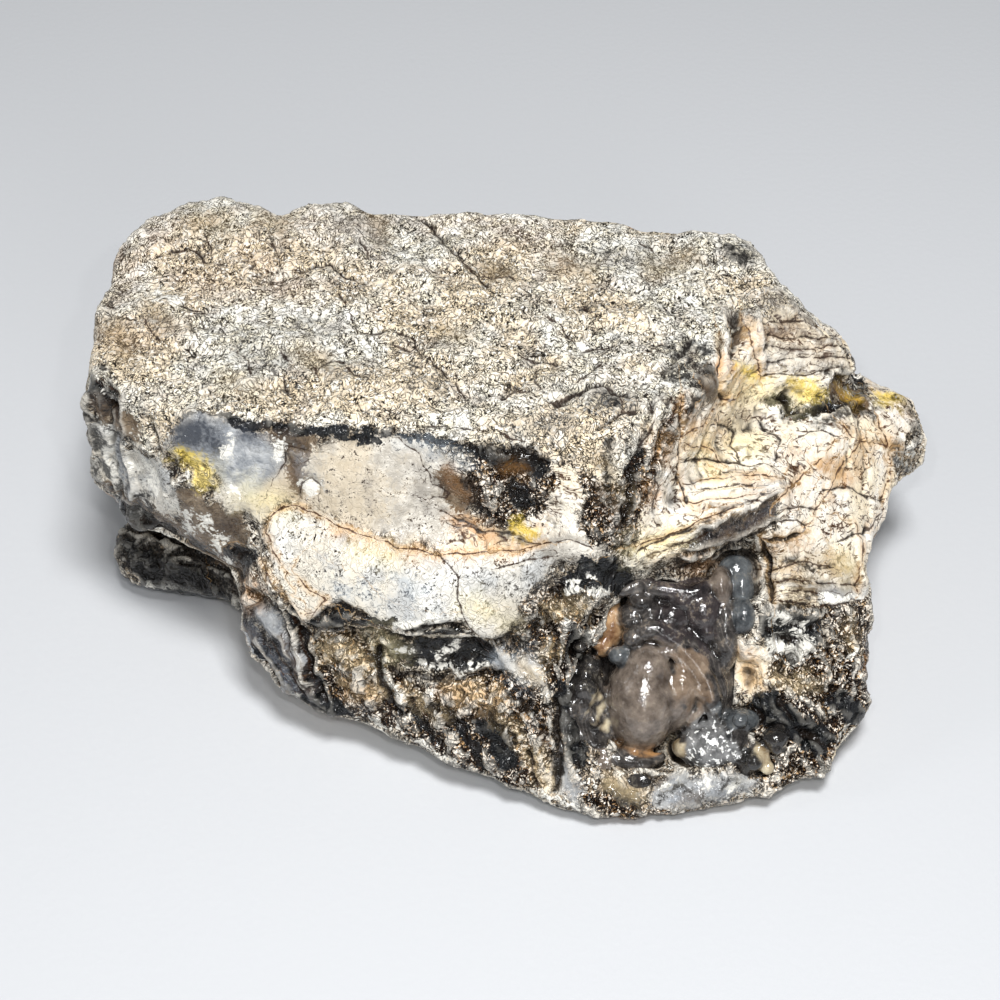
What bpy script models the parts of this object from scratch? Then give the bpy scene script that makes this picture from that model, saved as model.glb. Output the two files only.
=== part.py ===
"""Rough chalcedony specimen: one natural stone, resting on a small flat spot.

The stone is the union of convex chunks, one for each mass that broke or grew apart from the rest,
less the hollows between them. Botryoidal lumps are fused into the front pocket. A voxel remesh
welds it all into one skin, which noise then roughens as broken stone is.

Chunks are given by their corners, in millimetres: +X to the right, +Y to the back, +Z up,
seen from the front, with the table at Z 0.
"""

import math

import bmesh
import bpy
from mathutils import Euler, Vector

MM = 0.001

# Driving dimensions, in millimetres.
PLATEAU_Z = 45.0        # rough cortex on top
STEP_Z = 35.0           # upper step of the right end
LEDGE_Z = 32.5          # main ledge of the right end
OVERHANG_Z = 19.5       # underside of the cap where it overhangs on the left
UNDER = 3.5             # how far the base reaches below the table before it is cut flat
VOXEL = 1.0             # skin resolution before it is thinned
COARSE_RELIEF = 2.2     # height of the fist-sized unevenness
FINE_RELIEF = 0.8       # height of the chipped unevenness
KEEP_SHARE = 0.15       # share of the skin's faces that are kept

STONE_COLOUR = (0.62, 0.57, 0.49, 1.0)
STONE_ROUGHNESS = 0.62

# Each chunk is the convex hull of its corners.
CHUNKS = {
    "cap": [
        # plateau rim, from the left front corner round the back to the right
        (-54.5, -2, PLATEAU_Z - 1), (-55.5, 14, PLATEAU_Z - 2), (-54, 27, PLATEAU_Z - 2),
        (-49, 33, PLATEAU_Z - 2), (-23, 35, PLATEAU_Z - 1), (4, 34, PLATEAU_Z),
        (17, 29, PLATEAU_Z), (34.5, 28.5, PLATEAU_Z - 1), (40.5, 15, PLATEAU_Z - 1.5),
        (31, 5, PLATEAU_Z), (24, -10, PLATEAU_Z), (6, -15, PLATEAU_Z - 1),
        (-9, -13, PLATEAU_Z), (-26, -12, PLATEAU_Z), (-41, -11, PLATEAU_Z),
        # waist
        (-56.5, -1, 33), (-57, 14, 32), (-54, 30, 30), (-42, -13, 32), (-30, -15.5, 32),
        (-19, -16, 32), (-9, -18, 31), (5, -20, 30), (24, -12, 31), (39, 12, 30),
        (-40, 40, 26), (0, 42, 26), (34, 34, 26),
        # underside
        (-56, 1, 22), (-50, -6, OVERHANG_Z), (-35, -14, OVERHANG_Z), (-56, 20, 19),
        (-45, 34, 14), (5, -18, 15), (24, -10, 15), (38, 14, 12), (30, 34, 12),
        (-20, 40, 12),
    ],
    "rear_left_hump": [
        (-55.5, 21, 42.5), (-50, 34.5, 42), (-45, 38.5, 42), (-40, 38.5, 42.5), (-34, 35.5, 43),
        (-40, 25, 43.5),
        (-52, 28, 30), (-44, 38, 30), (-36, 37, 30), (-36, 20, 30),
    ],
    "rear_middle_hump": [
        (-31, 34, 43.5), (-27, 37, 43.5), (-22, 38, 43.5), (-18, 35.5, 44), (-22, 25, 44.2),
        (-29, 37, 30), (-18, 39, 30), (-22, 22, 30),
    ],
    "nose": [
        (2, -16, PLATEAU_Z - 2), (13, -17, PLATEAU_Z - 4), (21, -13, PLATEAU_Z - 2), (24, -8, PLATEAU_Z),
        (15, -21, 33), (9, -22, 33), (20, -18, 31), (5, -22, 29), (17, -22, 28), (24, -10, 28),
        (5, -5, 28), (2, -5, PLATEAU_Z - 1),
    ],
    "lobe": [
        (-31, -16, 31.5), (-20, -17.5, 32), (-9, -20.5, 31), (6, -22.5, 29),
        (-30, -20, 28), (-19, -22.5, 29), (-8, -25, 28), (4, -26, 26),
        (-35.5, -16, 22), (-30, -22.5, 23.5), (-26, -25.5, 21), (-15, -28, 22.5), (-8, -29, 22), (3, -29, 21),
        (9, -25, 22), (-34, -8, 19), (5, -8, 17), (-30, -5, 32), (5, -8, 32),
    ],
    "lower_front": [
        (-36, -15, 21), (-26, -22, 20), (-15, -24, 20), (3, -25, 20), (9, -25, 22), (13, -22.5, 28.5),
        (-34.5, -21, 10), (-31, -25, 8), (-23, -28.5, 7), (-15, -30.5, 6), (-8, -35.5, 5),
        (0, -39, 4), (8, -41.5, 3), (13.5, -43, 2),
        (-24, -17, 3), (-8, -25, 2.5), (8, -36, 2), (14, -38, 1.5), (-34, -10, 12), (14, -10, 20), (10, 0, 3),
        (-25, 0, 3), (14, -36, 10),
    ],
    "base": [
        (-20, 8, -UNDER), (-16, -6, -UNDER), (-4, -13, -UNDER), (10, -21, -UNDER), (26, -22, -UNDER),
        (31, -13, -UNDER), (32, 4, -UNDER), (28, 14, -UNDER), (20, 22, -UNDER), (0, 25, -UNDER),
        (-15, 21, -UNDER),
        (-44, 6, 12), (-48, 18, 12), (-46, 32, 10), (-24, 42, 12), (12, 44, 12), (40, 36, 10), (50, 22, 10),
        (49.5, 0, 10), (47, -14, 10), (30, -18, 12), (-34, -10, 14),
        (-44, 20, 24), (40, 22, 24), (0, 40, 24),
    ],
    "right_block": [
        (33, -17, 27.5), (38, -11, 27.5), (50, -12, 19), (48, -18, 18), (36, -21, 20.5), (35, -27, 13),
        (50, -25, 10), (50, -28.5, 6), (44, -37, 4), (39, -39, 3), (36, -38, 4), (36, -31, 2),
        (40, -32, 2), (44, -23, 2.5), (43, 0, 3), (50, 0, 8), (33, -8, 8), (33, -8, 26),
    ],
    "front_lip": [
        (12, -42.5, 2), (18.5, -43.5, 1), (26.5, -42, 1), (35, -40, 3), (40, -38, 3),
        (12, -37, 8), (21, -38, 6), (30, -37, 7), (38, -36, 7), (12, -36, 1.5), (22, -36, 1.5),
        (34, -33, 1.5),
        (12, -20, 2), (38, -20, 2), (12, -20, 12), (38, -20, 14),
    ],
    "pocket_back": [
        (12, -22, 27), (24, -17, 27), (34, -15, 27), (12, -24, 4), (41, -24, 5), (40, -17, 20),
        (14, -10, 27), (36, -5, 27), (14, -10, 2), (40, -8, 2),
    ],
    "main_ledge": [
        (19, -14, LEDGE_Z), (27, -8, LEDGE_Z + 1), (38, -3, LEDGE_Z), (48, 4, LEDGE_Z - 0.5),
        (51, 12, LEDGE_Z - 2), (40, 20, LEDGE_Z), (22, 0, LEDGE_Z + 1),
        (18, -21, 28), (26.5, -16.5, 28.5), (38, -12.5, 28.5), (50, -12, 19), (52, -7, 19), (54.5, 0, 20.5),
        (20, -16, 22), (46, -12, 12), (49, 0, 8), (50, 14, 8), (38, 25, 8), (22, 0, 20),
    ],
    "plate": [
        (20, -18, 31), (26, -12, 33), (35, -6, 33.5), (38.5, -9.5, 32), (38.5, -12, 29.5), (35, -15.5, 28),
        (27, -19, 27.5), (20, -21.5, 28), (24, -10, 28), (36, -6, 28),
    ],
    "upper_step": [
        (31, 7, PLATEAU_Z - 1), (40.5, 14.5, PLATEAU_Z - 1.5), (35, 26, PLATEAU_Z - 2), (47.5, 11, 38.5),
        (49.5, 10, STEP_Z), (44, 6, STEP_Z), (33, 3, STEP_Z + 1), (27, 0, STEP_Z + 1),
        (49, 19, 32), (42, 30, 30), (48, 10, 30), (30, 0, 30), (24, 14, 30), (24, 14, 43),
    ],
    "far_tip": [
        (54, 15, 28.5), (59, 15, 26.5), (61, 10.5, 23.5), (60.5, 9, 19), (57, 5, 19), (54, 1, 22),
        (49, 7, 31),
        (50, 20, 27), (54, 20, 14), (55, 10, 13), (46, 5, 12), (44, 18, 12), (44, 18, 30),
    ],
    "left_flange": [
        (-52, 4, 8), (-51, 1.5, 3), (-45, -0.5, 3), (-38.5, -4.5, 4), (-34, -8, 7), (-52, 14, 6),
        (-44, 6, 1.5), (-34, -4, 1.5), (-46, 18, 2.5), (-30, 12, 1.5), (-40, 8, 11), (-34, -6, 11),
        (-48, 20, 12),
    ],
}

# Hollows: centre, radii and turn in degrees of each ellipsoid that is cut away.
HOLLOWS = {
    "lobe_undercut": ((-11, -32.0, 16.8), (21, 6.0, 4.0), (0, 0, -6)),
    "rim_cave": ((6.5, -22.5, 36.0), (2.6, 5.5, 4.2), (0, 0, 15)),
    "round_pit": ((-4.5, -20.5, 35.5), (4.2, 4.6, 4.0), (0, 0, 0)),
    "plate_undercut": ((30, -20, 24.0), (9, 5, 3.4), (0, 0, 25)),
    "block_notch": ((39, -28, 17.0), (5.5, 4.5, 3.0), (-35, 0, 0)),
    "flange_gap": ((-51, -2, 14.0), (13, 10, 4.4), (0, 8, -25)),
    "step_groove": ((47, 3, 34.0), (12, 3.5, 1.8), (0, 8, -12)),
    "left_scar": ((-49, -11, 33.0), (4.0, 4.5, 9.0), (0, 0, 20)),
    "back_scar": ((-12, 50, 27), (17, 9.5, 10), (20, 0, 4)),
    "back_corner_scar": ((33, 42, 26), (12, 9, 13), (0, 10, -30)),
    "left_end_scar": ((-63, 20, 31), (8, 10, 8), (0, 0, 10)),
    "right_end_scar": ((57, -2, 10), (6.5, 12, 6.5), (0, 0, -6)),
}

# Thin bedding grooves, which leave ledges between them: the first groove, the step to the next,
# how many, and the radii of each.
BEDDING = {
    "front_bed": ((43.5, -32.0, 8.0), (0.6, 5.6, 4.1), 3, (8.5, 3.0, 0.9)),
    "end_bed": ((53.0, -6.0, 16.5), (-0.5, -1.5, -4.0), 3, (4.0, 11.0, 0.9)),
    "step_bed": ((46.0, 4.5, 37.5), (2.5, -1.0, -4.6), 2, (7.0, 3.2, 0.8)),
}

# The pocket is a bowl in the sloping front. Its own frame runs across, up the slope and out of it.
POCKET_CENTRE = (22.0, -31.0, 16.0)
POCKET_TILT = 40.0
POCKET_RADII = (13.0, 9.0, 15.5)
POCKET_FLOOR = ((-1.0, -8.0, 0.5), (9.5, 7.0, 7.0))

# Botryoidal lumps in the pocket's frame: centre (across, out, up) and radii of each rounded lump.
LUMPS = {
    "lining": ((0.0, -12.0, 2.0), (12.5, 6.0, 11.5)),
    "nodule": ((-2.5, -5.4, -4.4), (6.1, 6.4, 7.2)),
    "nodule_shoulder": ((2.6, -6.4, -3.6), (4.8, 5.0, 6.2)),
    "hood": ((-0.5, -8.0, 2.4), (8.6, 5.4, 4.8)),
    "crown": ((1.8, -7.2, 8.6), (7.6, 5.0, 5.0)),
    "crown_right": ((6.6, -7.0, 6.0), (4.0, 4.6, 5.8)),
    "wall_right": ((10.4, -6.0, 7.0), (3.0, 4.0, 5.4)),
    "collar_right": ((7.4, -8.4, -3.0), (4.4, 4.6, 7.4)),
    "orange_wall": ((-7.6, -6.4, 5.0), (3.4, 3.6, 5.0)),
    "left_swell": ((-10.2, -6.6, -6.2), (4.6, 4.6, 6.0)),
    "left_bead": ((-10.6, -4.6, -1.8), (2.6, 2.8, 2.8)),
    "floor_left": ((-8.6, -3.6, -12.0), (4.4, 3.4, 3.6)),
    "floor_mid": ((-1.4, -3.8, -12.2), (5.6, 3.6, 3.4)),
    "floor_right": ((6.6, -5.4, -10.4), (4.8, 4.6, 4.4)),
    "wall_low": ((10.6, -4.2, -7.6), (2.6, 3.2, 3.0)),
}
BIG_LUMP = 5.5          # lumps with a radius over this are made of finer facets


def clear_scene() -> None:
    """Removes every object that the file opened with."""
    for obj in list(bpy.data.objects):
        bpy.data.objects.remove(obj)


def helper_collection(name: str) -> bpy.types.Collection:
    """Makes a collection for helper shapes, which are never part of the stone."""
    collection = bpy.data.collections.new(name)
    bpy.context.scene.collection.children.link(collection)
    collection.hide_render = True
    return collection


def add_helper(bm: bmesh.types.BMesh, name: str, collection: bpy.types.Collection) -> bpy.types.Object:
    """Turns a bmesh into a hidden, closed helper object."""
    bmesh.ops.recalc_face_normals(bm, faces=bm.faces)
    mesh = bpy.data.meshes.new(name)
    bm.to_mesh(mesh)
    bm.free()
    obj = bpy.data.objects.new(name, mesh)
    obj.hide_render = True
    obj.display_type = "WIRE"
    collection.objects.link(obj)
    return obj


def convex_chunk(name: str, corners: list, collection: bpy.types.Collection) -> bpy.types.Object:
    """The convex hull of a few corners."""
    bm = bmesh.new()
    for corner in corners:
        bm.verts.new(Vector(corner) * MM)
    hull = bmesh.ops.convex_hull(bm, input=bm.verts)
    inside = {v for v in hull["geom_interior"] + hull["geom_unused"] if isinstance(v, bmesh.types.BMVert)}
    bmesh.ops.delete(bm, geom=list(inside), context="VERTS")
    return add_helper(bm, name, collection)


def ellipsoid(name: str, centre: tuple, radii: tuple, turn: tuple,
              collection: bpy.types.Collection) -> bpy.types.Object:
    """A round closed shape with its own radii along X, Y and Z, then turned."""
    bm = bmesh.new()
    bmesh.ops.create_icosphere(bm, subdivisions=3 if max(radii) > BIG_LUMP else 2, radius=1.0)
    bmesh.ops.scale(bm, vec=Vector(radii) * MM, verts=bm.verts)
    turned = Euler([math.radians(angle) for angle in turn]).to_matrix()
    bmesh.ops.rotate(bm, matrix=turned, verts=bm.verts)
    bmesh.ops.translate(bm, vec=Vector(centre) * MM, verts=bm.verts)
    return add_helper(bm, name, collection)


def in_pocket(offset: tuple) -> tuple:
    """The place, in millimetres, of a point given across, out of and up the pocket's slope."""
    tilted = Euler((math.radians(-POCKET_TILT), 0, 0)).to_matrix()
    across, out, up = offset
    return tuple(Vector(POCKET_CENTRE) + tilted @ Vector((across, -out, up)))


def floor_cutter(collection: bpy.types.Collection) -> bpy.types.Object:
    """A wide block whose top face is the table, which gives the stone its flat spot."""
    bm = bmesh.new()
    bmesh.ops.create_cube(bm, size=0.3)
    bmesh.ops.translate(bm, vec=(0, 0, -0.15), verts=bm.verts)
    return add_helper(bm, "table", collection)


def boolean(obj: bpy.types.Object, operation: str, collection: bpy.types.Collection) -> None:
    """Joins or cuts a whole collection of helpers."""
    modifier = obj.modifiers.new(collection.name, "BOOLEAN")
    modifier.operation = operation
    modifier.operand_type = "COLLECTION"
    modifier.collection = collection
    modifier.solver = "EXACT"


def one_skin(obj: bpy.types.Object, name: str) -> None:
    """Welds what the Booleans left into one even skin, without slivers or sealed gaps."""
    skin = obj.modifiers.new(name, "REMESH")
    skin.mode = "VOXEL"
    skin.voxel_size = VOXEL * MM


def relief(obj: bpy.types.Object, name: str, kind: str, size: float, height: float) -> None:
    """Raises and sinks the skin by a procedural texture of the given grain size."""
    texture = bpy.data.textures.new(name, kind)
    texture.noise_scale = size * MM
    modifier = obj.modifiers.new(name, "DISPLACE")
    modifier.texture = texture
    modifier.texture_coords = "LOCAL"
    modifier.strength = height * MM
    modifier.mid_level = 0.5


def stone_material() -> bpy.types.Material:
    """Dry, slightly waxy silica."""
    material = bpy.data.materials.new("chalcedony")
    material.use_nodes = True
    shader = material.node_tree.nodes["Principled BSDF"]
    shader.inputs["Base Color"].default_value = STONE_COLOUR
    shader.inputs["Roughness"].default_value = STONE_ROUGHNESS
    shader.inputs["Metallic"].default_value = 0.0
    return material


def centre_over_origin(obj: bpy.types.Object) -> None:
    """Moves the stone, with all that it is cut from, so that its bounding box is centred on the origin."""
    evaluated = obj.evaluated_get(bpy.context.evaluated_depsgraph_get())
    places = [vertex.co for vertex in evaluated.to_mesh().vertices]
    middle = [(min(place[axis] for place in places) + max(place[axis] for place in places)) / 2
              for axis in (0, 1)]
    evaluated.to_mesh_clear()
    for shape in bpy.data.objects:
        shape.location = (-middle[0], -middle[1], 0)


def build_stone() -> bpy.types.Object:
    """Builds the one stone from its chunks, hollows and lumps."""
    chunks = helper_collection("chunks")
    hollows = helper_collection("hollows")
    lumps = helper_collection("lumps")
    table = helper_collection("table")
    names = list(CHUNKS)
    core = convex_chunk("core", CHUNKS[names[0]], chunks)
    for name in names[1:]:
        convex_chunk(name, CHUNKS[name], chunks)
    for name, (centre, radii, turn) in HOLLOWS.items():
        ellipsoid(name, centre, radii, turn, hollows)
    for name, (first, step, count, radii) in BEDDING.items():
        for index in range(count):
            ellipsoid(f"{name}_{index}", Vector(first) + index * Vector(step), radii, (0, 0, 0), hollows)
    slope = (-POCKET_TILT, 0, 0)
    ellipsoid("pocket", POCKET_CENTRE, POCKET_RADII, slope, hollows)
    ellipsoid("pocket_floor", in_pocket(POCKET_FLOOR[0]), POCKET_FLOOR[1], slope, hollows)
    for name, (offset, radii) in LUMPS.items():
        ellipsoid(name, in_pocket(offset), radii, slope, lumps)
    floor_cutter(table)

    stone = bpy.data.objects.new("chalcedony", core.data)
    bpy.data.objects.remove(core)
    bpy.context.scene.collection.objects.link(stone)
    stone.data.materials.append(stone_material())
    boolean(stone, "UNION", chunks)
    boolean(stone, "DIFFERENCE", hollows)

    one_skin(stone, "broken_skin")
    relief(stone, "coarse_relief", "CLOUDS", 9.0, COARSE_RELIEF)
    relief(stone, "fine_relief", "CLOUDS", 3.2, FINE_RELIEF)
    boolean(stone, "UNION", lumps)
    one_skin(stone, "grown_skin")
    thin = stone.modifiers.new("thin", "DECIMATE")
    thin.ratio = KEEP_SHARE
    boolean(stone, "DIFFERENCE", table)
    return stone


def main() -> None:
    """Clears the scene and builds the stone."""
    clear_scene()
    centre_over_origin(build_stone())


main()
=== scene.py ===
"""Chalcedony specimen: the finished skin of one rough stone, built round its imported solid.

The stone's skin is remeshed finely, given the relief of each finish by Geometry Nodes, and
coloured by one layered material. The pocket's glossy botryoidal crust is a second mesh that
grows over the pocket. Lengths are in millimetres unless a name or a comment says otherwise.
"""

import logging
import math
from dataclasses import dataclass
from enum import Enum

import bmesh
import bpy
import numpy as np
from mathutils import Euler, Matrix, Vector


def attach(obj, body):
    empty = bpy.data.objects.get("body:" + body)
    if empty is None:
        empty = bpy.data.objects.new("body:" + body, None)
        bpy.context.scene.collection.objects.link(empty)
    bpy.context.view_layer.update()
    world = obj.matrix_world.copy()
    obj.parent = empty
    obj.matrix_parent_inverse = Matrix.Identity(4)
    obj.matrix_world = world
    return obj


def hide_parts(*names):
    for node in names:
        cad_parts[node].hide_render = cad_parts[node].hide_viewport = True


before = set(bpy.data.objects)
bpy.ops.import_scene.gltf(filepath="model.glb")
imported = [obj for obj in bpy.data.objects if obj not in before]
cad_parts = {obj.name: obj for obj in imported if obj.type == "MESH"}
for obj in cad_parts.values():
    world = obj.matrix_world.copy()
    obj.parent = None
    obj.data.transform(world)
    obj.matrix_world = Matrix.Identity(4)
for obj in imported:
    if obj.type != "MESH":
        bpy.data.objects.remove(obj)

LOG = logging.getLogger("chalcedony")
MM = 0.001
NODE = "chalcedony"
FAR = 8.0                       # patch distances are kept to this many millimetres
SILICA_IOR = 1.54               # typical of chalcedony

# The node types that are used most.
MATH, VECTOR_MATH, RANGE = "ShaderNodeMath", "ShaderNodeVectorMath", "ShaderNodeMapRange"
MIX, NOISE, VORONOI = "ShaderNodeMix", "ShaderNodeTexNoise", "ShaderNodeTexVoronoi"
FIELD, MESH_FIELD = "ShaderNodeAttribute", "GeometryNodeInputNamedAttribute"
Source = bpy.types.NodeSocket | bpy.types.Node      # what an input is linked from


# ---------------- small tools


def linear(hex_colour: str) -> tuple[float, float, float, float]:
    """Turns an sRGB hex colour into linear RGBA.

    Args:
        hex_colour: a colour such as "#D8CDB9".

    Returns:
        The linear red, green, blue and alpha.
    """
    channels = [int(hex_colour[i:i + 2], 16) / 255 for i in (1, 3, 5)]
    light = [c / 12.92 if c <= 0.04045 else ((c + 0.055) / 1.055) ** 2.4 for c in channels]
    return (*light, 1.0)


def add(tree: bpy.types.NodeTree, kind: str, inputs: dict | tuple = (), operation: str = "",
        **settings) -> bpy.types.Node:
    """Adds one node with its settings, values and links.

    Args:
        tree: the tree that the node goes into.
        kind: the node's type name.
        inputs: what its inputs take, by name or index, or in turn for those in use. Each takes a value, an
            output socket, or a node, which gives its first output in use.
        operation: what a node for mathematics does.
        settings: the node's other properties.

    Returns:
        The new node.
    """
    made = tree.nodes.new(kind)
    if operation:
        made.operation = operation
    for name, value in settings.items():
        setattr(made, name, value)
    if isinstance(inputs, tuple):
        inputs = dict(zip([index for index, socket in enumerate(made.inputs) if socket.enabled], inputs))
    for key, value in inputs.items():
        if isinstance(value, bpy.types.Node):
            value = next(socket for socket in value.outputs if socket.enabled)
        if isinstance(value, bpy.types.NodeSocket):
            tree.links.new(value, made.inputs[key])
        else:
            made.inputs[key].default_value = value
    return made


def smooth_step(low: float, high: float, value: np.ndarray) -> np.ndarray:
    """Rises smoothly from 0 at low to 1 at high."""
    share = np.clip((value - low) / (high - low), 0, 1)
    return share * share * (3 - 2 * share)


def vertex_places(mesh: bpy.types.Mesh) -> np.ndarray:
    """Gives a mesh's vertices, in millimetres."""
    places = np.empty(len(mesh.vertices) * 3, np.float32)
    mesh.vertices.foreach_get("co", places)
    return places.reshape(-1, 3).astype(float) / MM


def vertex_normals(mesh: bpy.types.Mesh) -> np.ndarray:
    """Gives a mesh's vertex normals."""
    normals = np.empty(len(mesh.vertices) * 3, np.float32)
    mesh.vertices.foreach_get("normal", normals)
    return normals.reshape(-1, 3).astype(float)


def store(mesh: bpy.types.Mesh, name: str, values: np.ndarray) -> None:
    """Stores one number, or one vector, for each vertex as a named attribute."""
    kind, key = ("FLOAT_VECTOR", "vector") if values.ndim == 2 else ("FLOAT", "value")
    attribute = mesh.attributes.get(name) or mesh.attributes.new(name, kind, "POINT")
    attribute.data.foreach_set(key, values.astype(np.float32).ravel())


def waves(points: np.ndarray, length: float, seed: int) -> np.ndarray:
    """A smooth field made of a few long waves.

    Args:
        points: places, in millimetres.
        length: the usual wave length.
        seed: which field.

    Returns:
        Values that mostly lie between -1 and 1.
    """
    draw = np.random.default_rng(seed)
    total = np.zeros(len(points))
    for _ in range(9):
        way = draw.normal(size=3)
        way /= np.linalg.norm(way)
        stretch = length * draw.uniform(0.6, 1.5)
        total += np.sin(points @ way * (2 * math.pi / stretch) + draw.uniform(0, 2 * math.pi))
    return total / 3.0


def hollowness(mesh: bpy.types.Mesh, steps: int) -> np.ndarray:
    """How far each vertex lies below the skin round it: positive in pits, negative on edges.

    Args:
        mesh: an evenly divided mesh.
        steps: how many times the skin is averaged, which sets the size of the pits that count.

    Returns:
        Depths, scaled so that nine tenths of them lie between -1 and 1.
    """
    places, normals = vertex_places(mesh), vertex_normals(mesh)
    ends = np.empty(len(mesh.edges) * 2, np.int32)
    mesh.edges.foreach_get("vertices", ends)
    first, second = ends.reshape(-1, 2).T
    count = len(places)
    shares = np.bincount(first, minlength=count) + np.bincount(second, minlength=count)
    even = places.copy()
    for _ in range(steps):
        for axis in range(3):
            column = even[:, axis]
            total = (np.bincount(first, column[second], count) + np.bincount(second, column[first], count))
            even[:, axis] = 0.4 * column + 0.6 * total / shares
    depth = ((even - places) * normals).sum(1)
    return depth / np.percentile(np.abs(depth), 90)


def placed(shape: bmesh.types.BMesh, name: str) -> bpy.types.Object:
    """Puts a shape into the scene as an object, and frees it."""
    mesh = bpy.data.meshes.new(name)
    shape.to_mesh(mesh)
    shape.free()
    obj = bpy.data.objects.new(name, mesh)
    bpy.context.scene.collection.objects.link(obj)
    return obj


def even_out(obj: bpy.types.Object, voxel: float, rounding: int) -> None:
    """Gives an object modifiers that remesh it evenly, by voxels of this many millimetres, and round it."""
    even = obj.modifiers.new("even", "REMESH")
    even.mode = "VOXEL"
    even.voxel_size = voxel * MM
    even.use_smooth_shade = True
    soften = obj.modifiers.new("soften", "SMOOTH")
    soften.factor = 0.5
    soften.iterations = rounding


def finished_copy(obj: bpy.types.Object, name: str) -> bpy.types.Object:
    """Turns an object with live modifiers into a new object with a plain mesh, and removes the old one.

    Args:
        obj: the object with its modifiers.
        name: the name of the new object.

    Returns:
        The new object.
    """
    graph = bpy.context.evaluated_depsgraph_get()
    mesh = bpy.data.meshes.new_from_object(
        obj.evaluated_get(graph), preserve_all_data_layers=True, depsgraph=graph)
    mesh.name = name
    made = bpy.data.objects.new(name, mesh)
    bpy.context.scene.collection.objects.link(made)
    bpy.data.objects.remove(obj)
    return made


# ---------------- the front chart


@dataclass(frozen=True)
class FrontChart:
    """The map of the stone's front and top, 1000 units wide and high, in which its patches are drawn.

    It is the view along one line of sight, so a patch lies on the skin under it.
    """

    units: float = 1000.0
    elevation: float = math.radians(43.0)
    distance: float = 330.0
    lens: float = 85.0
    sensor: float = 36.0
    target: tuple[float, float, float] = (-1.8, -0.7, 20.0)

    @property
    def back(self) -> np.ndarray:
        """The direction from the target to the eye."""
        return np.array((0.0, -math.cos(self.elevation), math.sin(self.elevation)))

    @property
    def eye(self) -> np.ndarray:
        """The place that the chart is seen from, in millimetres."""
        return np.array(self.target) + self.back * self.distance

    @property
    def units_per_mm(self) -> float:
        """Chart units in a millimetre at the target."""
        return self.lens / self.sensor * self.units / self.distance

    def places(self, points: np.ndarray) -> np.ndarray:
        """Chart places, across and down, of points given in millimetres."""
        right = np.array((1.0, 0.0, 0.0))
        up = np.cross(self.back, right)
        offset = points - self.eye
        depth = -(offset @ self.back)
        scale = self.lens / self.sensor * self.units
        across = self.units / 2 + offset @ right / depth * scale
        down = self.units / 2 - offset @ up / depth * scale
        return np.stack((across, down), 1)

    def facing(self, points: np.ndarray, normals: np.ndarray) -> np.ndarray:
        """How squarely each point of the skin faces the eye, from -1 to 1."""
        sight = self.eye - points
        sight /= np.linalg.norm(sight, axis=1, keepdims=True)
        return (sight * normals).sum(1)


CHART = FrontChart()


@dataclass(frozen=True)
class Patch:
    """A stretch of the skin drawn on the front chart.

    With a reach, in millimetres, it is a stroke of that half width along its points; with none it is
    the area inside them.
    """

    points: tuple[tuple[float, float], ...]
    reach: float = 0.0

    def near(self, spots: np.ndarray) -> np.ndarray:
        """Which chart places lie close enough for their distance to matter."""
        corners = np.array(self.points, float)
        margin = (FAR + self.reach) * CHART.units_per_mm
        return ((spots > corners.min(0) - margin) & (spots < corners.max(0) + margin)).all(1)

    def depth(self, spots: np.ndarray) -> np.ndarray:
        """How far inside the patch each chart place lies.

        Args:
            spots: places on the chart.

        Returns:
            Millimetres inside, negative outside, kept between -FAR and FAR.
        """
        corners = np.array(self.points, float)
        near = self.near(spots)
        result = np.full(len(spots), -FAR)
        spots = spots[near]
        ends = corners[1:] if self.reach else np.roll(corners, -1, 0)
        best = np.full(len(spots), np.inf)
        inside = np.zeros(len(spots), bool)
        if len(corners) == 1:
            best = ((spots - corners[0]) ** 2).sum(1)
        for start, end in zip(corners, ends):
            edge = end - start
            offset = spots - start
            share = np.clip(offset @ edge / (edge @ edge), 0, 1)
            best = np.minimum(best, ((offset - share[:, None] * edge) ** 2).sum(1))
            if start[1] != end[1]:
                across = start[0] + (spots[:, 1] - start[1]) * edge[0] / edge[1]
                inside ^= ((start[1] > spots[:, 1]) != (end[1] > spots[:, 1])) & (spots[:, 0] < across)
        gap = np.sqrt(best) / CHART.units_per_mm
        depth = self.reach - gap if self.reach else np.where(inside, gap, -gap)
        result[near] = np.clip(depth, -FAR, FAR)
        return result

    def side(self, spots: np.ndarray) -> np.ndarray:
        """How far to one side of the stroke each chart place lies, so that a thin line stays crisp.

        Args:
            spots: places on the chart.

        Returns:
            Millimetres from the stroke, with a sign for the side.
        """
        corners = np.array(self.points, float)
        near = self.near(spots)
        result = np.full(len(spots), FAR)
        best, spots = result[near], spots[near]
        for start, end in zip(corners, corners[1:]):
            edge = end - start
            offset = spots - start
            share = np.clip(offset @ edge / (edge @ edge), 0, 1)
            gap = np.linalg.norm(offset - share[:, None] * edge, axis=1) / CHART.units_per_mm
            turn = np.where(offset[:, 0] * edge[1] - offset[:, 1] * edge[0] > 0, 1, -1)
            best = np.where(gap < np.abs(best), gap * turn, best)
        result[near] = best
        return result


@dataclass(frozen=True)
class Fold:
    """A form raised from the skin, or sunk into it: a ridge along a stroke, or a step round an area."""

    patch: Patch
    height: float
    slope: float = 1.0

    def rise(self, spots: np.ndarray) -> np.ndarray:
        """How far the form lifts the skin at each chart place.

        Args:
            spots: places on the chart.

        Returns:
            Millimetres, below zero where it sinks.
        """
        width = self.patch.reach or self.slope
        return self.height * smooth_step(0, width, self.patch.depth(spots))


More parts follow.
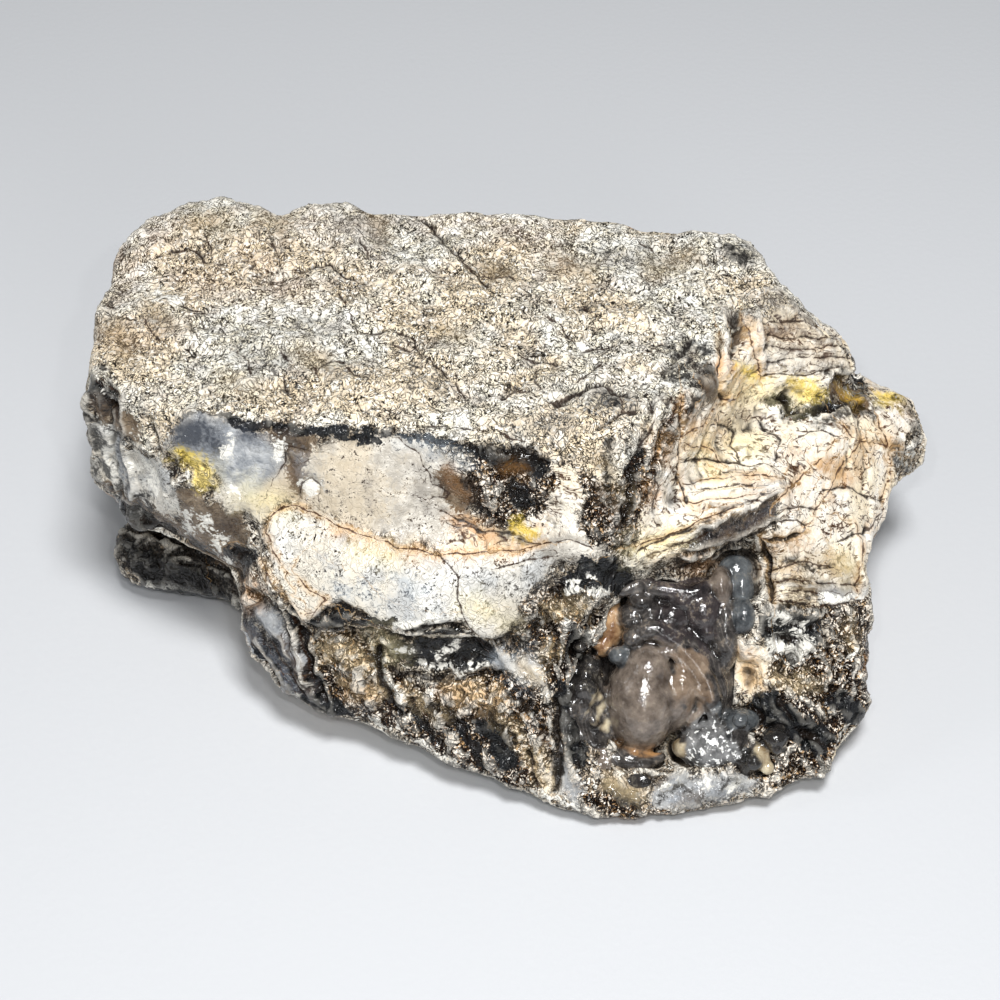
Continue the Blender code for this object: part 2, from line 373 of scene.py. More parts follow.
@dataclass(frozen=True)
class Shove:
    """A small shift of one stretch of the skin, in millimetres, that fades out at its radii."""

    centre: tuple[float, float, float]
    radii: tuple[float, float, float]
    move: tuple[float, float, float]

    def shift(self, points: np.ndarray) -> np.ndarray:
        """How far each point of the skin shifts."""
        gap = np.linalg.norm((points - np.array(self.centre)) / np.array(self.radii), axis=1)
        return smooth_step(1.0, 0.3, gap)[:, None] * np.array(self.move)


# The flange's thin lip reaches further left, and the plateau's back rim stands a little higher.
SHOVES = (
    Shove((-56.0, 3.0, 6.0), (17.0, 18.0, 9.0), (-3.6, -0.6, 0.0)),
    Shove((-44.0, 30.0, 38.0), (20.0, 16.0, 14.0), (0.0, 0.6, 0.8)),
)


# ---------------- finishes


class Marks(Enum):
    """The pattern of a finish's fine marks."""

    WORMS = "worms"
    STRATA = "strata"
    SPECKS = "specks"
    FLECKS = "flecks"


@dataclass(frozen=True)
class Relief:
    """How rough a finish's skin is, in millimetres of height.

    grain: wormy pits; chips: sharp broken ridges; terraces: thin broken beds; beads: small domes.
    Finer than the mesh: grit, of fine grains; grooves, along the fine marks; creases, of glassy ripples.
    bleach_and_highlight and grime_and_shade aren't heights. The first is how far convex edges go pale, partly
    as wear and partly as a painted highlight. The second is how far pits go dark, partly as grime and partly
    as painted shade.
    """

    grain: float = 0.0
    chips: float = 0.0
    terraces: float = 0.0
    beads: float = 0.0
    grit: float = 0.1
    grooves: float = 0.1
    creases: float = 0.0
    # The two that follow paint pale edges, partly wear and partly painted highlight, and dark pits, partly
    # grime and partly painted shade.
    bleach_and_highlight: float = 0.5
    grime_and_shade: float = 0.8


@dataclass(frozen=True)
class StoneFinish:
    """One finish of the stone's skin.

    name: also the attribute that holds how far inside the finish each vertex lies.
    pale, deep: its two tones, mixed by the mottle. tint, tint_share: a third tone in broad clouds.
    shade, shade_share: a fourth tone in patches a few millimetres wide.
    crumb_and_glint, crumb_and_glint_share: the colour and cover of the bright crumbs that stand on it; on the
    rust they are partly painted glints.
    crumb, crumb_and_glint_share: the colour and cover of the bright crumbs that stand on it.
    roughness: of its surface. edge: how far its border wanders. soft: half the width of its border.
    """

    name: str
    pale: str
    deep: str
    tint: str
    shade: str
    mark: str
    marks: Marks
    mark_share: float
    roughness: float
    tint_share: float = 0.5
    shade_share: float = 0.5
    crumb_and_glint: str = "#FFFBF0"
    crumb_and_glint_share: float = 0.0
    edge: float = 0.7
    soft: float = 0.12
    relief: Relief = Relief()


# Weathered broken rock between the finer finishes: dull, dusty, with dark grime and painted shade in its
# pits.
RIND = StoneFinish("rind", "#F1E8D8", "#A0937F", "#B89D7A", "#51463A", "#1E160F", Marks.WORMS, 0.75, 0.5,
                   crumb_and_glint_share=0.5, relief=Relief(grain=0.2, chips=0.75, grit=0.3, grooves=0.3))
# Cream strata of the stepped end: chalky and dense, finely crackled, stained by iron.
LEDGE = StoneFinish("ledge", "#FDF9F0", "#EDE2CF", "#F2DDB2", "#BF9A6C", "#452A14", Marks.STRATA, 0.8, 0.44,
                    relief=Relief(grain=0.03, chips=0.26, terraces=0.4, grit=0.05, grooves=0.05,
                                  bleach_and_highlight=0.4, grime_and_shade=0.9))
# Porcelain-white chalcedony of the lobe: dense and smooth, dotted with dark mineral specks.
PORCELAIN = StoneFinish("porcelain", "#F2F0E9", "#D6D2C9", "#E9DDC6", "#AEB3B7", "#2A2019", Marks.SPECKS, 0.8,
                        0.38, shade_share=0.6, edge=0.4,
                        relief=Relief(grain=0.06, chips=0.14, grit=0.08, grooves=0.10, bleach_and_highlight=0.2, grime_and_shade=0.5))
# Milky window: waxy translucent silica, almost without marks.
MILKY = StoneFinish("milky", "#E8E2D6", "#BDB6AA", "#D8C4A2", "#8F8982", "#33251A", Marks.SPECKS, 0.45, 0.24,
                    shade_share=0.6, edge=0.7, soft=0.7,
                    relief=Relief(chips=0.10, grit=0.03, grooves=0.05, bleach_and_highlight=0.2, grime_and_shade=0.4))
# Blue-grey window: clearer silica that looks dark because light goes into it.
SLATE = StoneFinish("slate", "#C6C8C9", "#92969B", "#ABA79F", "#5F646B", "#F4F4F0", Marks.FLECKS, 0.10, 0.16,
                    tint_share=0.35, edge=0.6, soft=0.8,
                    relief=Relief(chips=0.10, grit=0.04, grooves=0.05, creases=0.1, bleach_and_highlight=0.3, grime_and_shade=0.5))
# Brown-grey translucent silica with chalky white specks.
TAUPE = StoneFinish("taupe", "#90806B", "#5C4C3A", "#7D6A55", "#33281E", "#F8F1E3", Marks.FLECKS, 0.16, 0.20,
                    edge=0.7, soft=0.2,
                    relief=Relief(chips=0.14, beads=0.12, grit=0.05, creases=0.15, bleach_and_highlight=0.3, grime_and_shade=0.6))
# Black flint-like glass: conchoidal, glossy, chalky where it is bruised.
FLINT = StoneFinish("flint", "#2B2C2E", "#050606", "#141517", "#020202", "#E4E4DF", Marks.FLECKS, 0.01, 0.08,
                    edge=0.5, soft=0.10,
                    relief=Relief(chips=0.7, beads=0.1, grit=0.03, grooves=0.04, creases=0.5, bleach_and_highlight=0.08,
                                  grime_and_shade=0.7))
# Iron-stained rubble: jagged, rust-brown to black, with bleached grains and painted glints standing out.
RUST = StoneFinish("rust", "#D3B287", "#5E4029", "#BE8B4C", "#2B1A14", "#140903", Marks.WORMS, 1.15, 0.26,
                   shade_share=0.75, crumb_and_glint="#FFF3E2", crumb_and_glint_share=0.95, edge=0.8, soft=0.15,
                   relief=Relief(grain=0.3, chips=0.95, grit=0.4, grooves=0.5, bleach_and_highlight=0.45))
# Cortex: the stone's dull weathered rind on the plateau, pitted all over by fine winding pits.
CORTEX = StoneFinish("cortex", "#FFFEF6", "#F3EAD3", "#E8CFA8", "#B9AEA2", "#1E170D", Marks.WORMS, 0.54, 0.7,
                     tint_share=0.7, shade_share=0.55, crumb_and_glint_share=0.45, edge=0.5,
                     relief=Relief(grain=0.16, chips=0.38, grit=0.22, grooves=0.2, bleach_and_highlight=0.45, grime_and_shade=0.7))

LAYERS = (RIND, LEDGE, PORCELAIN, MILKY, SLATE, TAUPE, RUST, FLINT, CORTEX)
COARSE_RELIEF = ("grain", "chips", "terraces", "beads")
FINE_RELIEF = ("grit", "grooves", "creases", "bleach_and_highlight", "grime_and_shade")


@dataclass(frozen=True)
class Stain:
    """A stain that tints whatever finish it lies on.

    name: also the attribute that holds how far inside the stain each vertex lies. colour: as sRGB hex.
    strength: how much of the finish it changes at its middle. cover: how much of its change is plain colour
    rather than tinting. soft: half the width of its border, in millimetres. edge: how far the border wanders.
    """

    name: str
    colour: str
    strength: float
    cover: float
    soft: float
    edge: float = 0.8


STAINS = (
    Stain("dusk", "#3A3F49", 0.9, 0.85, 1.0), Stain("umber", "#53453A", 0.85, 0.7, 0.8),
    Stain("ochre", "#FBDD5E", 0.9, 0.7, 0.8), Stain("honey", "#DB9C50", 0.70, 0.3, 1.2),
    Stain("buff", "#F2D9AC", 0.75, 0.6, 1.2), Stain("straw", "#FFF2BE", 0.8, 0.45, 2.0),
    Stain("drab", "#A58F68", 0.7, 0.4, 1.4), Stain("frost", "#B9C4CE", 0.6, 0.4, 1.0),
    Stain("blush", "#D2A987", 0.5, 0.2, 2.5), Stain("ash", "#96948F", 0.6, 0.35, 1.5),
    # chalk_and_glint holds chalky white marks, and painted glints on the glossy flint.
    # soot_and_shade holds dark cracks and specks, and painted shade on the flange, the bottom edge and the
    # undercuts.
    Stain("chalk_and_glint", "#FDFAF0", 0.95, 0.95, 0.2), Stain("soot_and_shade", "#100D0A", 0.92, 0.75, 0.5),
)

VEIN_COLOUR = "#4A2A12"
VEIN_HALO = "#E3B87E"
HAIR_COLOUR = "#3A2415"
# Pale convex edges: partly wear, partly painted highlight. Dark pits: partly grime, partly painted shade.
# Near-black deep hollows: painted shade.
WEAR_AND_HIGHLIGHT_COLOUR = "#FFF9EC"
GRIME_AND_SHADE_COLOUR = "#1E1610"
HOLLOW_SHADE_COLOUR = "#120D09"

# Rust-filled cracks, drawn on the front chart.
VEINS = tuple(Patch(points) for points in (
    ((283, 566), (272, 552), (265, 530), (270, 518), (282, 508), (296, 505), (318, 514), (350, 531),
     (395, 546), (440, 556), (500, 551), (546, 545)), ((262, 560), (272, 580), (286, 600), (300, 618)),
    ((298, 578), (310, 590), (327, 600), (312, 614)),
    ((681, 398), (682, 420), (681, 442), (680, 476), (684, 497), (692, 504), (720, 500), (750, 494)),
    ((742, 392), (722, 403), (706, 418), (692, 432), (682, 440)),
    ((682, 444), (700, 446), (716, 452), (722, 462)), ((836, 440), (820, 458), (800, 478), (782, 497)),
    ((862, 440), (840, 470), (824, 500), (812, 520), (802, 534), (782, 537), (765, 538)),
    ((764, 540), (766, 560), (771, 582), (773, 604)), ((718, 334), (721, 352), (722, 372), (724, 396)),
    ((744, 316), (752, 340), (760, 372)), ((880, 424), (889, 446), (890, 478), (884, 498)),
    ((846, 520), (858, 528), (862, 546), (858, 590)), ((840, 424), (850, 436), (864, 442), (890, 446)),
    ((640, 545), (680, 532), (700, 520), (736, 508)), ((700, 480), (735, 478), (762, 474), (776, 478)),
))

# Hair cracks and thin beds, drawn on the front chart.
HAIRS = tuple(Patch(points) for points in (
    ((764, 322), (790, 320), (832, 326)), ((770, 336), (800, 338), (838, 334)),
    ((766, 346), (806, 350), (842, 344)), ((766, 362), (800, 358), (846, 356)),
    ((764, 374), (806, 376), (836, 368)), ((770, 310), (784, 322), (806, 310)),
    ((772, 582), (800, 580), (858, 584)), ((776, 592), (800, 590), (820, 594)),
    ((772, 570), (800, 560), (830, 566)), ((776, 600), (820, 606), (860, 600)),
    ((780, 510), (800, 506), (816, 510)), ((782, 522), (800, 520), (808, 524)),
    ((826, 490), (846, 486), (870, 496), (884, 500)), ((840, 540), (866, 532), (880, 516)),
    ((800, 436), (820, 428), (838, 436)), ((760, 424), (780, 440), (776, 458)),
    ((720, 424), (736, 432), (730, 446), (740, 460)), ((690, 462), (720, 460), (760, 466)),
    ((700, 490), (730, 486), (752, 482)), ((652, 470), (660, 490), (654, 512)),
    ((650, 556), (680, 545), (706, 534)), ((640, 552), (662, 540), (690, 530)),
    ((440, 557), (456, 575), (458, 600), (466, 624), (480, 644)),
    ((400, 440), (418, 454), (430, 476), (432, 486)), ((434, 486), (450, 494), (444, 500), (430, 498)),
    ((440, 512), (460, 520), (476, 530)), ((448, 526), (480, 530), (510, 534)),
    ((520, 540), (540, 546), (566, 540), (590, 548)), ((500, 566), (530, 560), (552, 556)),
    ((300, 494), (302, 484), (310, 478), (318, 484), (319, 494)), ((283, 452), (284, 462), (278, 474)),
    ((284, 446), (296, 450), (306, 450)), ((276, 606), (290, 640), (304, 676)),
    ((284, 604), (300, 640), (312, 676)), ((270, 640), (284, 664), (300, 690)),
    ((262, 650), (276, 676), (292, 694)), ((254, 640), (262, 664), (278, 686)), ((376, 706), (380, 722)),
    ((386, 704), (390, 722)), ((530, 750), (536, 790)), ((418, 214), (440, 236), (462, 260), (490, 286)),
    ((556, 402), (576, 388), (600, 384), (624, 394)), ((600, 430), (618, 412), (634, 408)),
    ((500, 396), (520, 388), (536, 396)), ((300, 270), (330, 262), (352, 276)),
    ((160, 260), (190, 250), (210, 262)), ((96, 384), (110, 406)), ((100, 378), (120, 396)),
    ((340, 290), (344, 298), (346, 303)), ((352, 316), (357, 324), (358, 332)),
    ((361, 332), (376, 331), (392, 328), (404, 332), (414, 342), (420, 353)),
    ((380, 342), (396, 345), (412, 351)), ((282, 350), (289, 359)), ((310, 362), (316, 370), (318, 377)),
    ((322, 366), (332, 361), (345, 360)), ((349, 371), (359, 379)), ((283, 378), (284, 388), (291, 393)),
    ((190, 322), (194, 332), (198, 339)), ((270, 240), (276, 250), (280, 263)),
    ((362, 240), (366, 250), (368, 257)), ((328, 258), (334, 264), (341, 269)),
    ((485, 274), (500, 277), (513, 278)), ((184, 304), (196, 310), (207, 314)), ((96, 300), (113, 306)),
    ((548, 318), (560, 326), (568, 336)), ((583, 306), (590, 313), (597, 318)),
    ((520, 356), (532, 361), (556, 362)), ((536, 368), (534, 380), (541, 389)),
    ((512, 384), (520, 392), (529, 392)), ((456, 372), (458, 384), (463, 397)),
    ((582, 352), (598, 347), (611, 345)), ((576, 380), (588, 373), (600, 362)),
    ((600, 382), (613, 387), (621, 397), (624, 409)), ((648, 400), (656, 416), (650, 432), (641, 446)),
    ((668, 392), (677, 405), (672, 420)), ((548, 402), (571, 402)), ((428, 356), (440, 368), (447, 375)),
    ((208, 243), (211, 253)), ((640, 244), (652, 251)), ((420, 426), (446, 424), (470, 427)),
    ((480, 428), (500, 433), (522, 441)), ((240, 352), (248, 362), (250, 372)),
    ((146, 322), (152, 334), (160, 340)),
))

# Ridges, grooves, steps and hollows of the skin, drawn on the front chart.
FOLDS = tuple(Fold(Patch(points, reach), height) for height, reach, points in (
    (0.8, 0.9, ((88, 396), (91, 440), (98, 478))), (-0.9, 0.8, ((106, 404), (110, 450), (120, 496))),
    (0.9, 0.8, ((121, 398), (127, 440), (136, 498))), (-0.7, 1, ((148, 420), (160, 452))),
    (-0.8, 0.7, ((96, 382), (110, 408))), (-0.9, 1.1, ((100, 492), (150, 524), (204, 556), (236, 574))),
    (0.5, 0.6, ((104, 530), (140, 536), (190, 548), (222, 566))),
    (-0.6, 0.9, ((166, 440), (172, 470), (170, 500))), (0.8, 0.9, ((174, 478), (177, 481))),
    (-1.2, 1, ((290, 610), (304, 640), (316, 680), (322, 704))),
    (0.7, 0.6, ((278, 600), (294, 640), (308, 680))), (0.7, 1.2, ((264, 612), (282, 640), (300, 664))),
    (-0.7, 0.7, ((246, 634), (260, 668), (280, 690))), (0.6, 0.6, ((256, 640), (272, 668), (292, 694))),
    (0.6, 0.8, ((236, 600), (244, 632))), (1, 1.4, ((250, 582), (254, 600))),
    (0.9, 0.7, ((384, 660), (394, 684), (404, 702))), (-1, 0.7, ((378, 652), (386, 690), (396, 712))),
    (0.9, 2.6, ((340, 640), (350, 660), (366, 700))), (-0.6, 1.1, ((318, 650), (330, 690), (344, 716))),
    (0.8, 1.2, ((382, 640), (392, 648))), (-0.9, 0.8, ((384, 664), (400, 672), (440, 678), (500, 672))),
    (1, 3, ((430, 692), (460, 700), (500, 702))), (-0.6, 1, ((410, 700), (424, 728), (440, 748))),
    (0.5, 1.6, ((428, 706), (446, 732), (462, 760))), (-0.6, 1.2, ((452, 712), (470, 744), (484, 776))),
    (0.7, 1.8, ((528, 720), (540, 750), (544, 776))), (-1.1, 0.9, ((552, 700), (560, 740), (556, 790))),
    (0.7, 1.1, ((566, 740), (576, 780))), (0.7, 1.2, ((506, 656), (524, 684))),
    (0.9, 1.3, ((536, 668), (537, 670))), (-0.9, 1, ((544, 610), (556, 640), (552, 680))),
    (-0.9, 0.8, ((400, 636), (424, 630), (444, 622), (462, 630))),
    (-0.8, 0.8, ((312, 622), (344, 602), (362, 616))),
    (-0.8, 0, ((330, 612), (344, 604), (358, 610), (344, 618))),
    (-1.6, 2.1, ((736, 312), (737, 335), (738, 352))), (0.6, 0.6, ((756, 305), (760, 340), (763, 372))),
    (-0.9, 0.8, ((718, 334), (722, 365), (724, 400))),
    (-0.8, 0, ((832, 372), (862, 368), (866, 394), (846, 408), (828, 402))),
    (-0.6, 0.6, ((772, 398), (800, 412), (840, 410), (864, 404))),
    (-0.8, 1, ((690, 340), (676, 352), (664, 372))),
    (-1.5, 0, ((764, 618), (820, 616), (824, 640), (800, 655), (770, 648))),
    (0.7, 0.6, ((764, 654), (792, 664), (822, 656))),
    (-1.2, 0.7, ((764, 538), (766, 560), (771, 582), (773, 604))),
    (-0.9, 0.6, ((765, 539), (784, 538), (803, 535))),
    (-0.6, 0.5, ((681, 400), (681, 440), (681, 480), (686, 500))),
    (0.5, 0.7, ((700, 506), (740, 500), (776, 484))),
    (-1.1, 0.8, ((688, 556), (716, 554), (742, 544), (776, 524))),
    (0.9, 0.7, ((680, 542), (714, 524), (748, 506), (779, 491))),
    (-0.8, 0.7, ((650, 400), (645, 430), (634, 474))), (-0.7, 0.6, ((666, 396), (664, 425), (656, 460))),
    (0.6, 0.6, ((658, 398), (655, 430), (646, 466))), (-0.8, 0.9, ((626, 440), (630, 480), (622, 530))),
    (-0.35, 0.6, ((418, 214), (444, 240), (470, 262), (488, 288))),
    (-0.6, 0.6, ((558, 404), (576, 388), (604, 384), (628, 398))),
    (-0.5, 0.6, ((300, 270), (330, 262), (356, 280))), (-0.6, 0.6, ((594, 434), (612, 414), (640, 408))),
    (-0.4, 0.6, ((480, 396), (520, 386), (548, 400))), (0.5, 2, ((190, 240), (230, 250), (250, 280))),
    (0.5, 2.2, ((350, 250), (400, 262), (440, 290))), (0.5, 2.2, ((150, 330), (220, 344), (290, 338))),
    (0.5, 2, ((560, 260), (640, 290), (700, 292))), (-0.8, 1, ((820, 620), (836, 660), (830, 700))),
    (0.6, 0.8, ((846, 610), (856, 650), (852, 700))), (-1, 1.2, ((780, 700), (800, 730), (830, 744))),
    (0.6, 1.2, ((790, 690), (820, 712), (846, 716))), (1.5, 5.5, ((150, 246), (200, 216), (252, 224))),
    (1.4, 4.5, ((300, 222), (345, 214))), (1.2, 4.5, ((700, 248), (752, 256), (786, 292))),
    (-0.8, 1.4, ((540, 664), (560, 690), (570, 640))), (0.5, 2.6, ((470, 300), (560, 320), (640, 316))),
    (0.5, 2.2, ((240, 380), (330, 372), (420, 384))),
))

# The patches of each finish and stain on the front chart: their reach, 0 for an area, and points.
PATCHES = {name: tuple(Patch(points, reach) for reach, points in rows) for name, rows in {
    "cortex": (
        (0, ((78, 372), (93, 300), (113, 238), (150, 208), (190, 185), (240, 188), (270, 200), (310, 190),
         (345, 186), (370, 196), (440, 202), (530, 198), (620, 218), (690, 218), (752, 222), (776, 252),
         (804, 300), (737, 330), (716, 350), (690, 392), (652, 432), (636, 462), (618, 484), (596, 480),
         (575, 462), (545, 455), (520, 447), (500, 452), (470, 441), (430, 433), (380, 425), (300, 421),
         (240, 415), (183, 411), (168, 440), (152, 458), (136, 426), (112, 388))),
    ),
    "milky": (
        (0, ((300, 452), (330, 442), (400, 434), (430, 442), (452, 462), (446, 500), (462, 528), (440, 548),
         (395, 542), (350, 524), (316, 508), (285, 500), (262, 520), (240, 514), (214, 500), (220, 482),
         (262, 470))), (0, ((520, 540), (560, 530), (598, 540), (612, 556), (580, 560), (545, 560))),
    ),
    "slate": (
        (0, ((170, 424), (182, 412), (204, 410), (240, 424), (268, 436), (284, 456), (280, 478), (252, 492),
         (226, 486), (206, 462), (178, 452))), (0.9, ((118, 440), (126, 470), (136, 500))),
        (1.3, ((264, 612), (276, 630), (290, 650), (302, 662))), (1.8, ((240, 630), (262, 664), (288, 692))),
        (1.6, ((368, 706), (384, 716), (396, 718))), (1.9, ((428, 712), (440, 724), (452, 740))),
        (1.5, ((500, 660), (516, 672), (524, 690))), (1.3, ((530, 664), (540, 674))),
        (1.2, ((560, 768), (570, 784), (580, 800))),
        (0, ((646, 792), (668, 774), (700, 778), (740, 770), (768, 778), (750, 792), (700, 806), (660, 812))),
        (1.2, ((704, 540), (735, 526), (768, 508))), (1.6, ((828, 735), (846, 752))),
        (1, ((822, 592), (840, 590), (856, 592))), (0.8, ((328, 632), (336, 630))),
    ),
    "taupe": (
        (0, ((176, 488), (192, 486), (216, 504), (244, 514), (248, 536), (240, 556), (214, 560), (196, 552),
         (182, 528))), (0, ((434, 474), (452, 470), (470, 484), (478, 506), (462, 514), (444, 502))),
        (1.3, ((98, 486), (140, 512), (190, 540), (236, 572))),
        (0, ((266, 426), (300, 430), (318, 440), (308, 470), (300, 498), (288, 494), (284, 456))),
        (0, ((682, 548), (704, 530), (732, 515), (760, 500), (779, 490), (778, 517), (758, 530), (735, 546),
         (716, 553))), (1.2, ((324, 684), (338, 692))), (0, ((724, 312), (748, 306), (752, 336), (724, 342))),
        (0, ((92, 398), (120, 402), (140, 416), (142, 440), (120, 434), (96, 424))),
        (1.2, ((700, 366), (712, 384), (716, 396))), (1.6, ((838, 384), (856, 392), (858, 402))),
    ),
    "porcelain": (
        (0, ((124, 446), (140, 452), (160, 458), (172, 476), (182, 500), (178, 516), (152, 514), (134, 498),
         (126, 470))), (0, ((88, 418), (104, 426), (118, 436), (128, 500), (104, 484), (92, 462))),
        (0, ((264, 540), (270, 516), (290, 504), (318, 508), (350, 522), (395, 546), (440, 557), (500, 551),
         (548, 545), (560, 556), (546, 576), (530, 590), (521, 606), (518, 622), (500, 636), (482, 645),
         (462, 622), (430, 622), (400, 628), (375, 620), (345, 602), (326, 610), (312, 626), (294, 612),
         (278, 580))),
    ),
    "flint": (
        (0.8, ((226, 417), (250, 424), (290, 428), (326, 431))),
        (0.45, ((330, 430), (380, 431), (426, 440), (470, 448))),
        (0, ((118, 536), (150, 548), (200, 570), (236, 596), (230, 612), (180, 600), (140, 584))),
        (0, ((86, 376), (104, 366), (134, 374), (124, 396), (96, 398))),
        (0.45, ((182, 413), (204, 410), (222, 414), (242, 418), (264, 422), (300, 431))),
        (0, ((218, 416), (240, 418), (262, 422), (262, 434), (248, 432), (232, 425))),
        (0.7, ((336, 434), (350, 438), (372, 441))),
        (0, ((466, 438), (500, 452), (536, 456), (552, 464), (540, 478), (518, 472), (494, 468), (478, 456))),
        (0, ((510, 482), (528, 484), (532, 506), (516, 512), (508, 498))),
        (0, ((470, 488), (480, 498), (488, 516), (476, 512))),
        (0, ((322, 616), (345, 602), (358, 610), (350, 620), (332, 622))),
        (0.7, ((316, 626), (340, 622), (372, 624), (396, 622))),
        (0, ((384, 650), (402, 642), (430, 634), (452, 624), (488, 647), (500, 656), (486, 670), (462, 672),
         (430, 666), (402, 664))),
        (0, ((558, 582), (580, 562), (610, 555), (630, 570), (634, 592), (606, 594), (580, 592), (566, 602))),
        (0, ((764, 618), (790, 612), (822, 616), (824, 640), (800, 654), (775, 650), (763, 636))),
        (0, ((828, 376), (858, 369), (868, 376), (866, 392), (850, 380), (832, 384))),
        (0.8, ((866, 398), (846, 404), (820, 408), (800, 416), (782, 404), (770, 400))),
        (1.1, ((100, 496), (130, 516), (160, 532))), (1.1, ((90, 382), (104, 396), (116, 410))),
        (0, ((104, 380), (122, 388), (130, 398), (116, 400))),
        (0.7, ((290, 612), (304, 640), (316, 680), (322, 704))), (1.3, ((306, 700), (326, 706), (342, 716))),
        (0.9, ((250, 648), (262, 668), (280, 690))), (0.6, ((380, 656), (388, 690), (396, 708))),
        (1.4, ((482, 720), (498, 740), (508, 762))), (0.5, ((410, 706), (424, 730), (436, 746))),
        (0.7, ((452, 716), (470, 744), (482, 772))), (0.8, ((672, 346), (692, 342), (712, 350))),
        (0.5, ((720, 312), (736, 304), (752, 300), (790, 292))), (2.2, ((766, 706), (800, 728), (818, 740))),
        (1.6, ((838, 700), (858, 716))), (1.4, ((575, 640), (584, 668), (580, 700), (566, 690))),
        (1.5, ((562, 700), (572, 730), (580, 756))), (0.7, ((632, 430), (640, 452), (632, 476), (628, 510))),
        (1.2, ((612, 790), (636, 800))), (1, ((226, 550), (244, 560))),
    ),
    "rust": (
        (0, ((306, 636), (340, 628), (375, 645), (386, 664), (420, 684), (462, 674), (512, 668), (546, 700),
         (556, 750), (541, 792), (500, 790), (450, 766), (400, 738), (345, 722), (320, 696))),
        (0, ((530, 592), (548, 580), (566, 586), (602, 592), (606, 622), (596, 656), (572, 694), (552, 692),
         (538, 660), (505, 642), (520, 620))),
        (0, ((584, 476), (604, 478), (624, 468), (642, 442), (656, 420), (668, 396), (690, 384), (692, 410),
         (674, 440), (654, 490), (640, 520), (632, 560), (604, 552), (580, 530))),
        (0, ((140, 404), (152, 416), (164, 448), (144, 446))),
        (0, ((772, 650), (826, 652), (866, 634), (878, 690), (868, 732), (836, 776), (800, 792), (768, 786),
         (742, 772), (734, 744), (748, 704), (768, 690))),
        (0, ((772, 606), (820, 604), (870, 600), (872, 640), (838, 650), (826, 616), (780, 612))),
        (1.6, ((590, 800), (630, 812), (660, 822))),
        (0, ((476, 446), (510, 452), (548, 458), (556, 480), (546, 512), (508, 528), (486, 524), (478, 500),
         (466, 480))),
    ),
    "ledge": (
        (0, ((436, 520), (450, 500), (476, 520), (506, 530), (540, 508), (556, 470), (566, 506), (590, 545),
         (560, 556), (500, 556), (440, 560))),
        (0, ((548, 462), (576, 470), (590, 500), (570, 520), (556, 500))),
        (0, ((690, 400), (720, 395), (760, 400), (800, 412), (850, 408), (880, 395), (905, 388), (918, 420),
         (898, 470), (888, 520), (874, 560), (866, 606), (840, 608), (800, 606), (770, 604), (770, 560),
         (780, 530), (780, 495), (744, 512), (702, 537), (650, 566), (622, 572), (638, 530), (656, 470),
         (676, 430))),
        (0, ((733, 335), (760, 308), (802, 298), (838, 325), (866, 370), (850, 376), (822, 388), (800, 402),
         (750, 397), (712, 392), (710, 365), (724, 345))),
        (0, ((866, 372), (890, 372), (920, 390), (900, 402), (872, 400))),
        (0, ((716, 652), (740, 640), (764, 646), (792, 664), (780, 690), (754, 706), (738, 694))),
        (0, ((744, 556), (762, 560), (764, 590), (750, 588))),
        (0, ((520, 748), (548, 742), (556, 770), (546, 794), (528, 784))),
        (1, ((800, 764), (830, 756), (850, 744))),
    ),
    "dusk": (
        (0, ((170, 424), (182, 414), (200, 413), (208, 424), (204, 446), (190, 452), (176, 446))),
        (1.4, ((206, 430), (216, 452))), (1.6, ((240, 612), (256, 640), (274, 664), (292, 692))),
        (1.2, ((276, 640), (290, 664), (304, 690))), (0.9, ((700, 542), (735, 527), (770, 510))),
        (0.7, ((596, 404), (608, 396), (620, 402))), (0.9, ((246, 434), (256, 438))),
    ),
    "umber": (
        (1.2, ((600, 490), (618, 512), (628, 548))), (1, ((664, 396), (680, 404), (668, 436))),
        (0.5, ((486, 270), (504, 272))), (0.9, ((440, 490), (452, 482), (466, 492), (468, 506))),
        (0.35, ((764, 330), (800, 334), (834, 344))), (0.35, ((770, 346), (810, 352), (846, 362))),
        (0.35, ((760, 366), (790, 370), (820, 372))),
        (0, ((264, 428), (284, 432), (304, 436), (312, 446), (300, 452), (284, 450), (268, 440))),
        (0, ((212, 514), (236, 522), (242, 540), (222, 540))),
        (1.3, ((104, 496), (150, 524), (204, 554), (236, 572))), (0.9, ((288, 456), (300, 470), (298, 490))),
        (1.2, ((446, 480), (466, 490), (472, 502))), (0.9, ((716, 548), (740, 536), (760, 524))),
        (0.9, ((726, 312), (746, 316), (740, 330))), (1.2, ((96, 404), (112, 416))),
        (1, ((690, 350), (700, 376), (712, 396))), (1, ((846, 386), (856, 400))),
        (1, ((520, 700), (536, 716), (544, 740))), (0.9, ((440, 686), (452, 700))),
        (1.2, ((506, 636), (526, 622))), (0.7, ((286, 640), (300, 668), (308, 690))),
        (0.7, ((240, 616), (250, 640))), (0.8, ((768, 300), (800, 304), (826, 322))),
        (0.8, ((680, 800), (700, 796))), (0.7, ((650, 782), (664, 778))), (1.1, ((804, 588), (818, 590))),
    ),
    "ochre": (
        (1.5, ((184, 458), (196, 466), (204, 480))), (1.3, ((798, 386), (816, 394))),
        (0.9, ((742, 370), (754, 376))), (1, ((518, 526), (526, 534))), (0.8, ((880, 398), (898, 400))),
        (0.9, ((850, 388), (856, 398))),
    ),
    "honey": (
        (1.7, ((248, 582), (254, 600))), (2, ((456, 690), (474, 698), (490, 702))),
        (1.4, ((350, 690), (372, 690))),
        (0.9, ((340, 532), (362, 540), (400, 552), (436, 558), (480, 552), (530, 546))),
        (1.1, ((506, 466), (520, 468))), (1.1, ((452, 520), (490, 536))),
        (1.1, ((768, 546), (780, 542), (798, 540))), (1.2, ((690, 562), (716, 566))),
        (1.4, ((745, 655), (750, 680))), (1.4, ((820, 462), (836, 466), (846, 478))),
